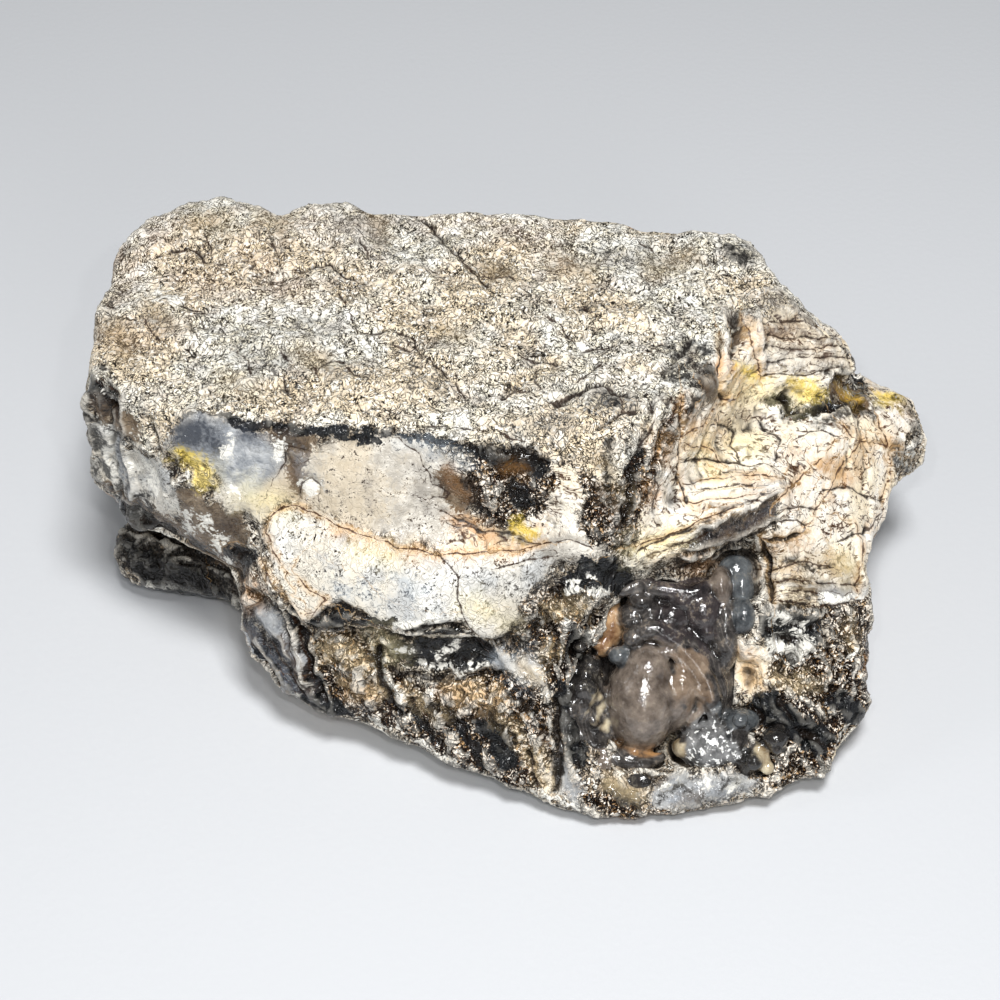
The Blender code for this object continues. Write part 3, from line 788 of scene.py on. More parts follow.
        (0.9, ((682, 400), (690, 430))), (0.9, ((726, 364), (740, 380))), (0.9, ((646, 488), (656, 496))),
        (1.3, ((660, 440), (664, 460))), (1, ((846, 390), (858, 400))), (0.7, ((888, 440), (900, 450))),
        (0.8, ((452, 476), (462, 486), (468, 498))),
    ),
    "buff": (
        (1.8, ((330, 648), (348, 650), (362, 662))), (1.2, ((344, 684), (368, 690), (384, 688))),
        (1.4, ((460, 692), (480, 698), (496, 706))), (1.4, ((534, 756), (544, 780))),
        (0.8, ((404, 690), (424, 706), (446, 716))), (0.8, ((500, 716), (516, 734))),
        (1.2, ((548, 610), (566, 604), (580, 612))), (1.4, ((740, 664), (752, 680))),
        (1.2, ((612, 784), (636, 792))), (1, ((780, 676), (812, 684))), (1, ((676, 742), (690, 756))),
        (0.8, ((848, 620), (856, 650))), (1, ((520, 668), (532, 676))),
        (0.9, ((452, 684), (474, 688), (494, 694))), (0.9, ((544, 655), (556, 652))),
    ),
    "straw": (
        (1.8, ((246, 496), (262, 498), (276, 500))), (1.2, ((360, 550), (390, 556))),
        (1.4, ((740, 392), (780, 392), (800, 400))), (1.4, ((470, 604), (490, 610))),
        (1, ((506, 620), (512, 624))), (1.6, ((636, 550), (660, 544), (680, 540))),
        (1.6, ((384, 640), (392, 648))), (1.4, ((700, 446), (710, 470), (720, 480))),
        (1.4, ((736, 446), (750, 450))), (1.6, ((840, 560), (850, 570))), (1.6, ((262, 500), (282, 506))),
        (1.2, ((246, 488), (260, 492))), (1.2, ((200, 470), (212, 476))),
    ),
    "frost": (
        (1, ((330, 586), (350, 592), (366, 600), (380, 606))), (1, ((400, 444), (430, 448), (470, 462))),
        (1.2, ((304, 460), (312, 480))), (0.9, ((740, 496), (762, 490), (774, 486))),
        (1, ((112, 440), (124, 480))), (1.4, ((500, 660), (520, 684))), (1.6, ((400, 580), (420, 588))),
        (0.9, ((510, 652), (532, 650))),
    ),
    "blush": (
        (1.8, ((190, 280), (240, 292), (300, 288))), (1.6, ((100, 250), (130, 262))),
        (1.8, ((490, 222), (540, 240), (560, 262))), (1.6, ((300, 230), (370, 232))),
        (2, ((120, 290), (140, 260), (170, 230))), (1.4, ((110, 340), (180, 330))),
        (1.4, ((430, 218), (500, 226), (550, 232))), (1.8, ((250, 260), (310, 290))),
        (1, ((290, 480), (296, 496))), (1.4, ((670, 560), (700, 566))),
        (1.6, ((770, 330), (800, 340), (830, 352))), (1, ((880, 420), (894, 430))),
    ),
    "ash": (
        (1, ((490, 620), (520, 604))), (0.8, ((476, 590), (500, 580))),
        (2, ((770, 316), (810, 318), (836, 346))), (1.2, ((760, 350), (800, 356), (830, 366))),
        (1.6, ((690, 796), (720, 790), (750, 786))), (1.4, ((300, 326), (330, 330))),
        (1.6, ((340, 220), (380, 240))), (1.6, ((600, 250), (640, 256))),
        (1.8, ((570, 396), (600, 392), (630, 402))), (1.6, ((420, 376), (440, 384))),
        (1.8, ((520, 430), (570, 420))), (1.6, ((736, 252), (752, 260))), (2, ((240, 350), (280, 356))),
        (1.2, ((100, 300), (112, 310))), (2.2, ((512, 612), (536, 584), (546, 562))),
        (1.6, ((500, 590), (520, 572))), (1, ((140, 470), (160, 500))), (1.5, ((690, 786), (740, 778))),
        (1.6, ((826, 586), (846, 590))), (1.4, ((150, 320), (170, 330))), (1.5, ((330, 370), (352, 376))),
    ),
    # Chalky white marks, and painted glints on the glossy black flint.
    "chalk_and_glint": (
        (0.7, ((226, 434), (229, 438))), (0.5, ((226, 448), (225, 458))), (0.9, ((304, 484), (312, 488))),
        (0.5, ((278, 440), (284, 446), (278, 456))), (0.6, ((204, 522), (212, 520))),
        (0.5, ((186, 512), (188, 532))), (0.45, ((218, 533), (219, 535))), (0.5, ((206, 526), (210, 530))),
        (0.3, ((180, 481), (184, 479))), (0.4, ((388, 678), (400, 696))), (0.3, ((108, 400), (100, 392))),
        (0.8, ((404, 628), (420, 626), (436, 620))), (0.3, ((846, 384), (852, 388))),
        (0.4, ((822, 598), (856, 596))), (0.35, ((122, 540), (134, 554), (146, 562))),
        (0.4, ((152, 584), (170, 585), (186, 592), (206, 602), (232, 606))),
        (0.3, ((236, 602), (240, 634), (254, 664), (270, 684), (296, 700))),
        (0.4, ((346, 724), (372, 729), (400, 731))), (0.35, ((408, 738), (440, 754), (462, 776), (484, 792))),
        (0.4, ((510, 796), (548, 798), (578, 805))), (0.4, ((216, 546), (222, 556), (230, 566))),
        (0.5, ((792, 626), (808, 624))), (0.6, ((772, 648), (796, 655), (816, 648))),
        (0.4, ((780, 640), (800, 644))), (0.3, ((440, 652), (456, 644))), (0.3, ((420, 660), (450, 666))),
        (0.4, ((160, 296), (178, 299))), (0.6, ((440, 424), (470, 426))),
        (0.7, ((104, 440), (109, 462), (114, 490))), (0.35, ((96, 470), (102, 490))),
        (0.6, ((136, 462), (150, 470), (156, 492))), (0.25, ((84, 420), (90, 428), (96, 424))),
        (0.5, ((124, 508), (140, 520))), (0.4, ((232, 486), (236, 494))), (0.35, ((404, 650), (412, 648))),
        (0.3, ((470, 664), (484, 668))), (0.25, ((448, 668), (462, 672))),
        (0.3, ((568, 590), (590, 594), (606, 588))), (0.3, ((800, 632), (812, 636))),
        (0.5, ((774, 622), (786, 618))), (0.35, ((846, 660), (858, 656))), (0.3, ((840, 740), (852, 730))),
        (0.25, ((852, 380), (860, 386))), (0.3, ((808, 414), (812, 422))), (0.3, ((575, 581), (590, 578))),
        (0.45, ((586, 632), (590, 646), (584, 658))), (0.45, ((566, 624), (570, 634))),
        (0.5, ((668, 784), (676, 782))), (0.35, ((700, 786), (708, 784))), (0.4, ((726, 790), (738, 784))),
        (0.5, ((902, 436), (908, 440))), (0.4, ((898, 458), (904, 466))), (0.4, ((909, 452), (914, 446))),
    ),
    # Dark cracks and specks, and painted shade on the flange, along the bottom edge and in the undercuts.
    "soot_and_shade": (
        (0.8, ((104, 494), (150, 522), (206, 554))), (0.9, ((728, 254), (744, 262))),
        (0.5, ((584, 308), (594, 314))), (0.4, ((612, 440), (606, 470), (610, 500))),
        (0.5, ((464, 480), (476, 494), (474, 510))), (0.7, ((672, 372), (686, 380))),
        (0.4, ((604, 392), (616, 404))), (0.7, ((664, 350), (686, 342), (706, 350))),
        (0.5, ((676, 366), (694, 362), (712, 370))), (0.15, ((700, 534), (740, 518), (776, 500))),
        (0.6, ((88, 404), (94, 440), (98, 490))), (0.5, ((106, 412), (114, 450), (118, 500))),
        (1.2, ((100, 508), (150, 532), (206, 556))), (3, ((132, 550), (170, 566), (220, 588))),
        (0.5, ((688, 548), (712, 536), (740, 524))), (0.8, ((246, 560), (240, 590), (236, 604))),
        (1.2, ((486, 448), (540, 460))), (1, ((512, 484), (518, 504))),
        (0.5, ((660, 574), (700, 558), (740, 548), (762, 536))), (0.5, ((690, 380), (700, 400), (684, 428))),
        (0.7, ((300, 706), (350, 732), (400, 744), (450, 772), (520, 800))),
        (0.7, ((552, 700), (560, 740), (556, 780))), (0.35, ((770, 538), (790, 537), (802, 534))),
        (0.4, ((764, 540), (766, 560), (771, 582), (773, 604))), (0.5, ((766, 612), (800, 608), (822, 610))),
        (0.5, ((318, 622), (344, 604), (362, 616))),
        (0.45, ((400, 638), (424, 632), (444, 624), (462, 632), (484, 650))),
        (0.6, ((640, 440), (628, 480), (622, 520))), (0.5, ((378, 656), (388, 690), (400, 710))),
        (0.5, ((98, 436), (101, 452), (106, 478))), (0.35, ((120, 446), (126, 470), (130, 498))),
        (0.5, ((142, 492), (150, 512))), (0.7, ((104, 372), (112, 384), (118, 398))),
        (0.4, ((84, 384), (88, 400))), (0.6, ((430, 700), (444, 716), (452, 734))),
        (0.5, ((470, 706), (492, 716), (512, 740))), (0.5, ((510, 690), (530, 704), (540, 724))),
        (0.4, ((340, 664), (352, 676), (372, 680))), (0.5, ((520, 640), (534, 628), (540, 610))),
        (0.35, ((500, 640), (520, 630))), (0.4, ((880, 440), (896, 452), (902, 470))),
        (0.45, ((896, 400), (912, 412), (916, 436))), (0.35, ((868, 374), (884, 372), (900, 380))),
        (0.4, ((852, 404), (870, 408), (884, 404))), (0.5, ((256, 620), (270, 640), (284, 664))),
        (0.4, ((262, 654), (280, 680), (292, 690))), (0.35, ((826, 371), (842, 368), (858, 371))),
        (0.3, ((862, 372), (864, 390))), (0.4, ((802, 407), (822, 410), (842, 411))),
        (0.4, ((814, 425), (830, 419), (846, 413), (866, 410))), (0.3, ((868, 412), (874, 420))),
        (0.3, ((780, 398), (784, 412), (790, 424))), (0.2, ((775, 583), (790, 581), (810, 583))),
        (0.2, ((780, 590), (792, 590), (802, 596), (812, 598))), (0.3, ((788, 560), (794, 556), (800, 553))),
        (0.25, ((800, 566), (808, 568), (814, 572))), (0.3, ((806, 600), (818, 596))),
        (0.8, ((572, 634), (578, 650))), (0.7, ((560, 660), (590, 664))), (0.35, ((860, 566), (862, 580))),
        (0.3, ((660, 796), (676, 788), (690, 790))), (0.3, ((700, 804), (716, 792), (724, 780))),
        (0.25, ((736, 776), (742, 790))), (0.35, ((896, 446), (902, 452), (908, 448))),
        (0.3, ((900, 466), (908, 462))),
    ),
    "drab": (
        (2, ((805, 562), (818, 560), (828, 568))), (1.2, ((770, 545), (784, 542), (800, 541))),
        (0.9, ((768, 560), (770, 580))), (2, ((804, 586), (816, 588))), (0.9, ((776, 600), (800, 602))),
        (1.8, ((840, 568), (850, 580))), (1.2, ((900, 446), (906, 462))), (1.6, ((262, 222), (284, 228))),
        (1.5, ((372, 214), (384, 232))), (1.5, ((150, 306), (164, 320))), (1.6, ((300, 350), (322, 364))),
        (1.6, ((560, 262), (590, 270))), (1.2, ((490, 268), (506, 272))), (1.4, ((440, 330), (462, 338))),
        (1.6, ((196, 226), (226, 232))), (1.8, ((112, 330), (126, 350))), (1.4, ((226, 380), (252, 388))),
        (1.8, ((604, 462), (622, 500))), (1.2, ((652, 420), (660, 446))), (1.5, ((650, 270), (690, 262))),
        (1, ((824, 460), (840, 472))), (1, ((716, 404), (740, 396))), (1.3, ((778, 556), (798, 558))),
    ),
}.items()}


# ---------------- the pocket


@dataclass(frozen=True)
class Pocket:
    """The bowl in the stone's sloping front. Its own frame runs across, out of it and up the slope."""

    centre: tuple[float, float, float] = (22.0 - 1.8, -31.0 - 0.7, 16.0)
    tilt: float = math.radians(40.0)

    @property
    def turn(self) -> np.ndarray:
        """The matrix that turns pocket directions into the stone's."""
        return np.array(Euler((-self.tilt, 0, 0)).to_matrix())

    def place(self, offset: tuple[float, float, float]) -> np.ndarray:
        """The place of a point given across, out of and up the pocket."""
        across, out, up = offset
        return np.array(self.centre) + self.turn @ np.array((across, -out, up))

    def local(self, points: np.ndarray) -> np.ndarray:
        """Across, out and up for each point of the stone."""
        inner = (points - np.array(self.centre)) @ self.turn
        return inner * np.array((1.0, -1.0, 1.0))


POCKET = Pocket()


class Tone(Enum):
    """The tones of the crust's lumps: the attribute of each, its pale and its deep colour."""

    SMOKE = ("smoke", "#4E4A47", "#1D1A19")
    CLEAR = ("clear", "#85796E", "#4C423A")
    PLUM = ("plum", "#443D3D", "#1B1718")
    AMBER = ("amber", "#968370", "#5E4D3E")
    GLOW = ("glow", "#C7A47C", "#6E4B30")
    STEEL = ("steel", "#666A6C", "#2A2D30")
    JET = ("jet", "#34312F", "#0A0909")
    CREAM = ("cream", "#DDD0B2", "#8A775A")
    DRUSE = ("druse", "#8E8E8D", "#262627")

    def __init__(self, field: str, pale: str, deep: str) -> None:
        """Names the tone's values: colours are sRGB hex."""
        self.field, self.pale, self.deep = field, pale, deep


COLOURED_TONES = tuple(Tone)[1:]        # what the crust's own smoke tone is overlaid with


@dataclass(frozen=True)
class Lump:
    """One rounded lump of the crust: its centre in the pocket's frame, its three radii and its tone."""

    name: str
    centre: tuple[float, float, float]
    radii: tuple[float, float, float]
    tone: Tone = Tone.SMOKE

    def gap(self, local: np.ndarray) -> np.ndarray:
        """Roughly how far each point of the pocket lies outside the lump, in millimetres."""
        radii = np.array(self.radii)
        scaled = (local - np.array(self.centre)) / radii
        reach = np.linalg.norm(scaled, axis=1)
        return (reach - 1) * radii.mean()


# The lumps of the crust. The large ones follow the solid's, and the small ones break them up.
LUMPS = (
    Lump("lining", (0.0, -12.0, 2.4), (12.7, 6.2, 12.2)),
    Lump("nodule", (-3.1, -5.3, -3.0), (4.9, 6.6, 6.9), Tone.CLEAR),
    Lump("nodule_top", (-2.5, -4.6, 1.2), (3.4, 5.0, 3.9), Tone.CLEAR),
    Lump("nodule_shoulder", (0.4, -7.0, -1.9), (4.6, 6.2, 5.8), Tone.CLEAR),
    Lump("facet", (2.0, -5.7, -0.8), (2.8, 5.0, 4.0), Tone.AMBER),
    Lump("hood", (0.2, -8.6, 4.2), (8.2, 5.2, 4.6)),
    Lump("crown", (1.8, -8.4, 9.6), (7.4, 4.9, 4.6), Tone.PLUM),
    Lump("crown_lobe", (4.9, -6.2, 9.0), (3.2, 4.0, 3.5), Tone.PLUM),
    Lump("crown_tip", (5.4, -5.4, 6.5), (2.0, 2.6, 2.2), Tone.PLUM),
    Lump("crown_mid", (0.7, -5.8, 8.2), (2.9, 3.4, 2.5), Tone.PLUM),
    Lump("crown_back", (2.2, -6.0, 10.6), (2.6, 3.4, 2.2), Tone.PLUM),
    Lump("crown_bead", (-3.3, -4.9, 10.4), (1.9, 2.6, 1.5)),
    Lump("crown_left", (-2.1, -5.6, 8.9), (2.4, 3.0, 1.9)),
    Lump("crown_foot", (-4.4, -5.6, 8.2), (2.0, 2.8, 2.0)),
    Lump("beige_bead", (7.4, -5.4, 12.2), (1.5, 2.4, 2.8), Tone.CLEAR),
    Lump("crown_side", (7.9, -6.0, 6.0), (2.2, 3.8, 5.6)),
    Lump("wall_top", (9.6, -7.6, 14.2), (2.5, 2.3, 2.2), Tone.STEEL),
    Lump("wall_bead", (10.3, -4.6, 8.2), (1.8, 2.6, 2.7), Tone.STEEL),
    Lump("wall_neck", (10.2, -6.4, 11.8), (1.9, 2.3, 3.0), Tone.STEEL),
    Lump("collar_right", (6.5, -8.6, -2.0), (3.9, 4.8, 7.2)),
    Lump("amber_facet", (-7.2, -6.9, 7.4), (1.9, 2.6, 3.8), Tone.GLOW),
    Lump("amber_foot", (-8.2, -6.6, 4.4), (1.5, 2.2, 1.8), Tone.GLOW),
    Lump("blue_spot", (-6.1, -3.8, 3.2), (1.7, 1.9, 1.3), Tone.STEEL),
    Lump("small_bead", (-4.3, -3.8, 5.6), (1.6, 2.2, 1.5)),
    Lump("left_swell", (-9.6, -5.6, -6.0), (3.6, 3.6, 5.6)),
    Lump("crescent", (-8.8, -5.0, -5.2), (1.7, 2.8, 3.2), Tone.CREAM),
    Lump("left_bead", (-10.1, -4.2, 1.6), (1.8, 2.3, 1.9), Tone.JET),
    Lump("left_bead_mid", (-11.6, -3.2, 0.1), (1.5, 2.0, 1.2), Tone.JET),
    Lump("left_bead_far", (-13.0, -2.2, -0.4), (1.2, 1.6, 1.1), Tone.JET),
    Lump("left_bead_low", (-12.4, -2.6, -1.9), (1.2, 1.6, 1.0)),
    Lump("left_bead_high", (-11.4, -2.8, 4.6), (1.1, 1.6, 1.0), Tone.JET),
    Lump("floor_left", (-8.8, -3.4, -11.4), (1.9, 2.5, 1.8), Tone.CLEAR),
    Lump("floor_mid", (-5.0, -4.6, -10.6), (3.8, 3.2, 2.0)),
    Lump("floor_cup", (-3.2, -2.8, -13.2), (2.4, 2.0, 1.6), Tone.JET),
    Lump("floor_right", (6.2, -5.4, -9.0), (4.6, 4.4, 3.8), Tone.DRUSE),
    Lump("druse_left", (2.6, -5.2, -9.2), (1.7, 3.0, 1.6), Tone.CREAM),
    Lump("oval_bead", (10.2, -3.8, -5.4), (2.4, 2.4, 1.6), Tone.STEEL),
    Lump("dark_bead", (14.4, -2.4, -7.6), (1.9, 2.2, 1.5), Tone.JET),
    Lump("low_bead", (11.0, -3.0, -11.0), (1.7, 2.2, 1.5), Tone.JET),
    Lump("bone_low", (12.8, -2.8, -10.4), (1.1, 1.6, 1.7), Tone.CREAM),
    Lump("wall_low", (9.6, -4.6, -7.6), (2.4, 3.0, 2.6)),
)
NODULE, NODULE_TOP = LUMPS[1:3]


@dataclass(frozen=True)
class Rib:
    """A rounded ridge of the hood: a path across and up the pocket, how far out it lies, and its radius."""

    path: tuple[tuple[float, float], ...]
    out: float
    radius: float
    tone: Tone = Tone.SMOKE

    def beads(self) -> list[Lump]:
        """The ridge as a close row of round lumps.

        Returns:
            The lumps, from one end to the other.
        """
        corners = np.array(self.path)
        lengths = np.linalg.norm(np.diff(corners, axis=0), axis=1)
        along = np.concatenate(([0.0], np.cumsum(lengths)))
        steps = np.linspace(0, along[-1], int(along[-1] / (0.45 * self.radius)) + 1)
        rows = []
        for step in steps:
            across, up = np.interp(step, along, corners[:, 0]), np.interp(step, along, corners[:, 1])
            end = min(step, along[-1] - step)
            fade = 0.55 + 0.45 * min(1.0, end / (2 * self.radius))
            centre = (across, self.out - (1 - fade) * 2, up)
            rows.append(Lump("rib", centre, (self.radius * fade,) * 3, self.tone))
        return rows


RIBS = (
    Rib(((1.8, 3.4), (3.6, 1.7), (4.8, -0.2), (4.8, -3.8), (3.0, -6.4)), -3.2, 0.6, Tone.GLOW),
    Rib(((-4.6, 4.6), (-3.6, 6.4), (-1.5, 6.9), (1.2, 5.2), (3.6, 2.7), (5.4, 0.0), (6.2, -2.8), (6.6, -5.6)),
        -2.9, 1.4),
    Rib(((-1.4, 4.4), (0.9, 3.6), (2.7, 1.4), (4.4, -1.0), (5.0, -3.0)), -2.3, 0.6),
    Rib(((-2.6, 8.0), (0.6, 7.0), (3.6, 4.9), (6.0, 2.2), (7.2, -0.8), (7.6, -4.0)), -3.9, 1.2),
    Rib(((-3.4, 12.4), (0.7, 11.8), (3.4, 11.3), (6.2, 12.8)), -3.9, 1.2),
    Rib(((-7.2, 11.0), (-5.0, 12.2), (-2.0, 13.2)), -3.4, 0.9),
    Rib(((-8.0, -1.2), (-9.6, -3.4), (-10.6, -6.0), (-9.9, -8.8)), -2.9, 0.7),
    Rib(((-8.6, 0.0), (-10.8, -2.4), (-12.0, -5.6), (-11.6, -8.8), (-9.8, -11.2)), -2.6, 0.8),
    Rib(((-9.6, 0.4), (-12.2, -2.6), (-13.2, -5.8), (-13.0, -9.4), (-11.2, -12.2)), -1.8, 0.8),
    Rib(((-10.2, -8.0), (-7.6, -10.2), (-3.4, -11.2), (-0.6, -10.4)), -2.9, 1.3),
    Rib(((-8.6, -9.6), (-6.6, -12.8), (-3.0, -14.4), (0.6, -14.0)), -1.9, 0.8),
)


# ---------------- Geometry Nodes


def group_with_inputs(name: str, inputs: dict[str, float]) -> tuple[bpy.types.NodeTree, bpy.types.Node]:
    """Starts a Geometry Nodes tree that takes a mesh and named numbers.

    Args:
        name: the tree's name.
        inputs: each number's name and usual value.

    Returns:
        The tree and its input node.
    """
    tree = bpy.data.node_groups.new(name, "GeometryNodeTree")
    tree.interface.new_socket(name="Geometry", in_out="INPUT", socket_type="NodeSocketGeometry")
    for key, value in inputs.items():
        socket = tree.interface.new_socket(name=key, in_out="INPUT", socket_type="NodeSocketFloat")
        socket.default_value = value
    tree.interface.new_socket(name="Geometry", in_out="OUTPUT", socket_type="NodeSocketGeometry")
    return tree, add(tree, "NodeGroupInput")


def close_group(tree: bpy.types.NodeTree, geometry: Source, material: bpy.types.Material) -> None:
    """Ends a tree by realizing its instances and setting its material."""
    real = add(tree, "GeometryNodeRealizeInstances", {0: geometry})
    dressed = add(tree, "GeometryNodeSetMaterial", {"Geometry": real, "Material": material})
    add(tree, "NodeGroupOutput", {0: dressed})


def use_group(obj: bpy.types.Object, tree: bpy.types.NodeTree, values: dict[str, float]) -> None:
    """Puts a tree on an object as a modifier, with its inputs set by identifier."""
    modifier = obj.modifiers.new(tree.name, "NODES")
    modifier.node_group = tree
    for item in tree.interface.items_tree:
        if item.item_type == "SOCKET" and item.in_out == "INPUT" and item.name in values:
            modifier[item.identifier] = values[item.name]


@dataclass(frozen=True)
class SkinRelief:
    """Raises the skin by its stored relief heights, each with a pattern of its own size.

    The sizes are those of the real stone's pits, chips, beds and beads.
    """

    grain_size: float = 1.9
    chip_size: float = 3.6
    bed_pitch: float = 2.4
    bead_size: float = 2.3
    swell_size: float = 9.0
    swell_height: float = 0.8
    bedding: tuple[float, float, float] = (0.12, -0.52, 0.85)

    def tree(self, material: bpy.types.Material) -> bpy.types.NodeTree:
        """Builds the tree.

        Args:
            material: the material that the skin gets.

        Returns:
            A tree whose inputs are the five sizes and the swell's height.
        """
        tree, group = group_with_inputs("skin_relief", {
            "Grain Size": self.grain_size, "Chip Size": self.chip_size, "Bed Pitch": self.bed_pitch,
            "Bead Size": self.bead_size, "Swell Size": self.swell_size, "Swell Height": self.swell_height})
        sizes = group.outputs
        place = add(tree, VECTOR_MATH, (add(tree, "GeometryNodeInputPosition"), 1 / MM), "SCALE")
        geometry = sizes["Geometry"]
        for field, size, detail in (("cloud", 14.0, 3.0), ("patch", 5.0, 4.0)):
            noise = add(tree, NOISE, {
                "Vector": place, "Scale": 1 / size, "Detail": detail, "Roughness": 0.55})
            geometry = add(tree, "GeometryNodeStoreNamedAttribute", {
                "Geometry": geometry, "Name": field, "Value": noise})
        scale = {name: add(tree, MATH, (1.0, sizes[name]), "DIVIDE")
                 for name in ("Grain Size", "Chip Size", "Bead Size", "Swell Size")}

        # Wormy pits: valleys that wind where a distorted noise crosses its middle.
        worm = add(tree, NOISE, {"Vector": place, "Scale": scale["Grain Size"], "Detail": 3.0,
                                 "Roughness": 0.55, "Distortion": 0.7})
        winding = add(tree, MATH, (worm, 5.0, -2.5), "MULTIPLY_ADD")
        valley = add(tree, MATH, (winding,), "ABSOLUTE")
        wall = add(tree, MATH, (valley, 0.55), "POWER")
        grain = add(tree, MATH, (wall, 0.75), "SUBTRACT")

        # Chips: warped cells at uneven levels, broken by ridges half as long again.
        warp = add(tree, NOISE, {"Vector": place, "Scale": 1 / 3.0, "Detail": 2.0})
        pull = add(tree, VECTOR_MATH, (warp.outputs["Color"], 4.0), "SCALE")
        warped = add(tree, VECTOR_MATH, (place, pull))
        cell = add(tree, VORONOI, {"Vector": warped, "Scale": scale["Chip Size"]})
        lift = add(tree, "ShaderNodeSeparateXYZ", (cell.outputs["Color"],))
        level = add(tree, MATH, (lift, 0.8), "MULTIPLY")
        chunk = add(tree, MATH, (cell, -0.9, level), "MULTIPLY_ADD")
        length = add(tree, MATH, (sizes["Chip Size"], 1.5), "MULTIPLY")
        ridge = add(tree, NOISE, {
            "Vector": place, "Scale": add(tree, MATH, (1.0, length), "DIVIDE"), "Detail": 5.0,
            "Roughness": 0.6, "Distortion": 0.9})
        crest = add(tree, MATH, (ridge, 2.6, -1.3), "MULTIPLY_ADD")
        chip = add(tree, MATH, (chunk, crest), "ADD")

        # Terraces: beds that break off sharply, each split into thin beds.
        wander = add(tree, NOISE, {"Vector": place, "Scale": 0.11, "Detail": 3.0})
        lean = add(tree, VECTOR_MATH, (place, self.bedding), "DOT_PRODUCT")
        level = add(tree, MATH, (wander, 8.0, lean), "MULTIPLY_ADD")
        beds = add(tree, MATH, (level, sizes["Bed Pitch"]), "DIVIDE")
        thin_pitch = add(tree, MATH, (sizes["Bed Pitch"], 0.31), "MULTIPLY")
        thin_beds = add(tree, MATH, (level, thin_pitch), "DIVIDE")
        bed = add(tree, MATH, (beds,), "FRACT")
        thin_bed = add(tree, MATH, (thin_beds,), "FRACT")
        stairs = add(tree, MATH, (thin_bed, 0.35, bed), "MULTIPLY_ADD")
        terrace = add(tree, MATH, (stairs, 0.65), "SUBTRACT")

        # Beads, as small domes, and the slow swell of the whole skin.
        cells = add(tree, VORONOI, {"Vector": place, "Scale": scale["Bead Size"]}, feature="SMOOTH_F1")
        dome = add(tree, MATH, (cells, -2.4, 1.0), "MULTIPLY_ADD")
        swell = add(tree, NOISE, {"Vector": place, "Scale": scale["Swell Size"], "Detail": 2.0})
        middle = add(tree, MATH, (swell, 0.5), "SUBTRACT")
        rolling = add(tree, MATH, (middle, sizes["Swell Height"]), "MULTIPLY")

        total = add(tree, MESH_FIELD, {"Name": "fold"})
        for field, shape in (("swell", rolling), ("grain", grain), ("chips", chip), ("terraces", terrace),
                             ("beads", dome)):
            height = add(tree, MESH_FIELD, {"Name": field})
            raised = add(tree, MATH, (height, shape), "MULTIPLY")
            total = add(tree, MATH, (total, raised), "ADD")
        sink = add(tree, MESH_FIELD, {"Name": "sink"})
        left = add(tree, MATH, (total, sink), "SUBTRACT")
        metres = add(tree, MATH, (left, MM), "MULTIPLY")
        offset = add(tree, VECTOR_MATH, (add(tree, "GeometryNodeInputNormal"), metres), "SCALE")
        moved = add(tree, "GeometryNodeSetPosition", {"Geometry": geometry, "Offset": offset})

        # Nothing reaches below the floor.
        parts = add(tree, "ShaderNodeSeparateXYZ", (add(tree, "GeometryNodeInputPosition"),)).outputs
        floored = add(tree, MATH, (parts[2], 0.0), "MAXIMUM")
        lifted = add(tree, "ShaderNodeCombineXYZ", (parts[0], parts[1], floored))
        standing = add(tree, "GeometryNodeSetPosition", {"Geometry": moved, "Position": lifted})
        close_group(tree, standing, material)
        return tree


@dataclass(frozen=True)
class BeadGrowth:
    """Scatters small botryoidal beads over the crust's lumps. Each is scaled between smallest and largest."""

    radius: float = 0.9
    smallest: float = 0.45
    largest: float = 1.5
    per_square_mm: float = 0.16
    seed: float = 7.0

    def tree(self, material: bpy.types.Material) -> bpy.types.NodeTree:
        """Builds the tree.

        Args:
            material: the material that the crust gets.

        Returns:
            A tree whose inputs are the bead's radius, how many there are, and the seed.
        """
        tree, group = group_with_inputs("bead_growth", {
            "Bead Radius": self.radius * MM, "Density": self.per_square_mm / MM ** 2, "Seed": self.seed})
        bed = add(tree, MESH_FIELD, {"Name": "bead_bed"})
        density = add(tree, MATH, (bed, group.outputs["Density"]), "MULTIPLY")
        points = add(tree, "GeometryNodeDistributePointsOnFaces", {
            "Mesh": group.outputs["Geometry"], "Density": density, "Seed": group.outputs["Seed"]})
        bead = add(tree, "GeometryNodeMeshIcoSphere", {
            "Radius": group.outputs["Bead Radius"], "Subdivisions": 3})
        size = add(tree, "FunctionNodeRandomValue", {2: self.smallest, 3: self.largest, "Seed": 3})
        beads = add(tree, "GeometryNodeInstanceOnPoints", {"Points": points, "Instance": bead, "Scale": size})
        joined = add(tree, "GeometryNodeJoinGeometry", {0: group.outputs["Geometry"]})
        tree.links.new(beads.outputs[0], joined.inputs[0])
        close_group(tree, joined, material)
        return tree


# ---------------- the layered material


@dataclass
class Look:
    """What a shader has mixed so far."""

    colour: Source
    roughness: Source


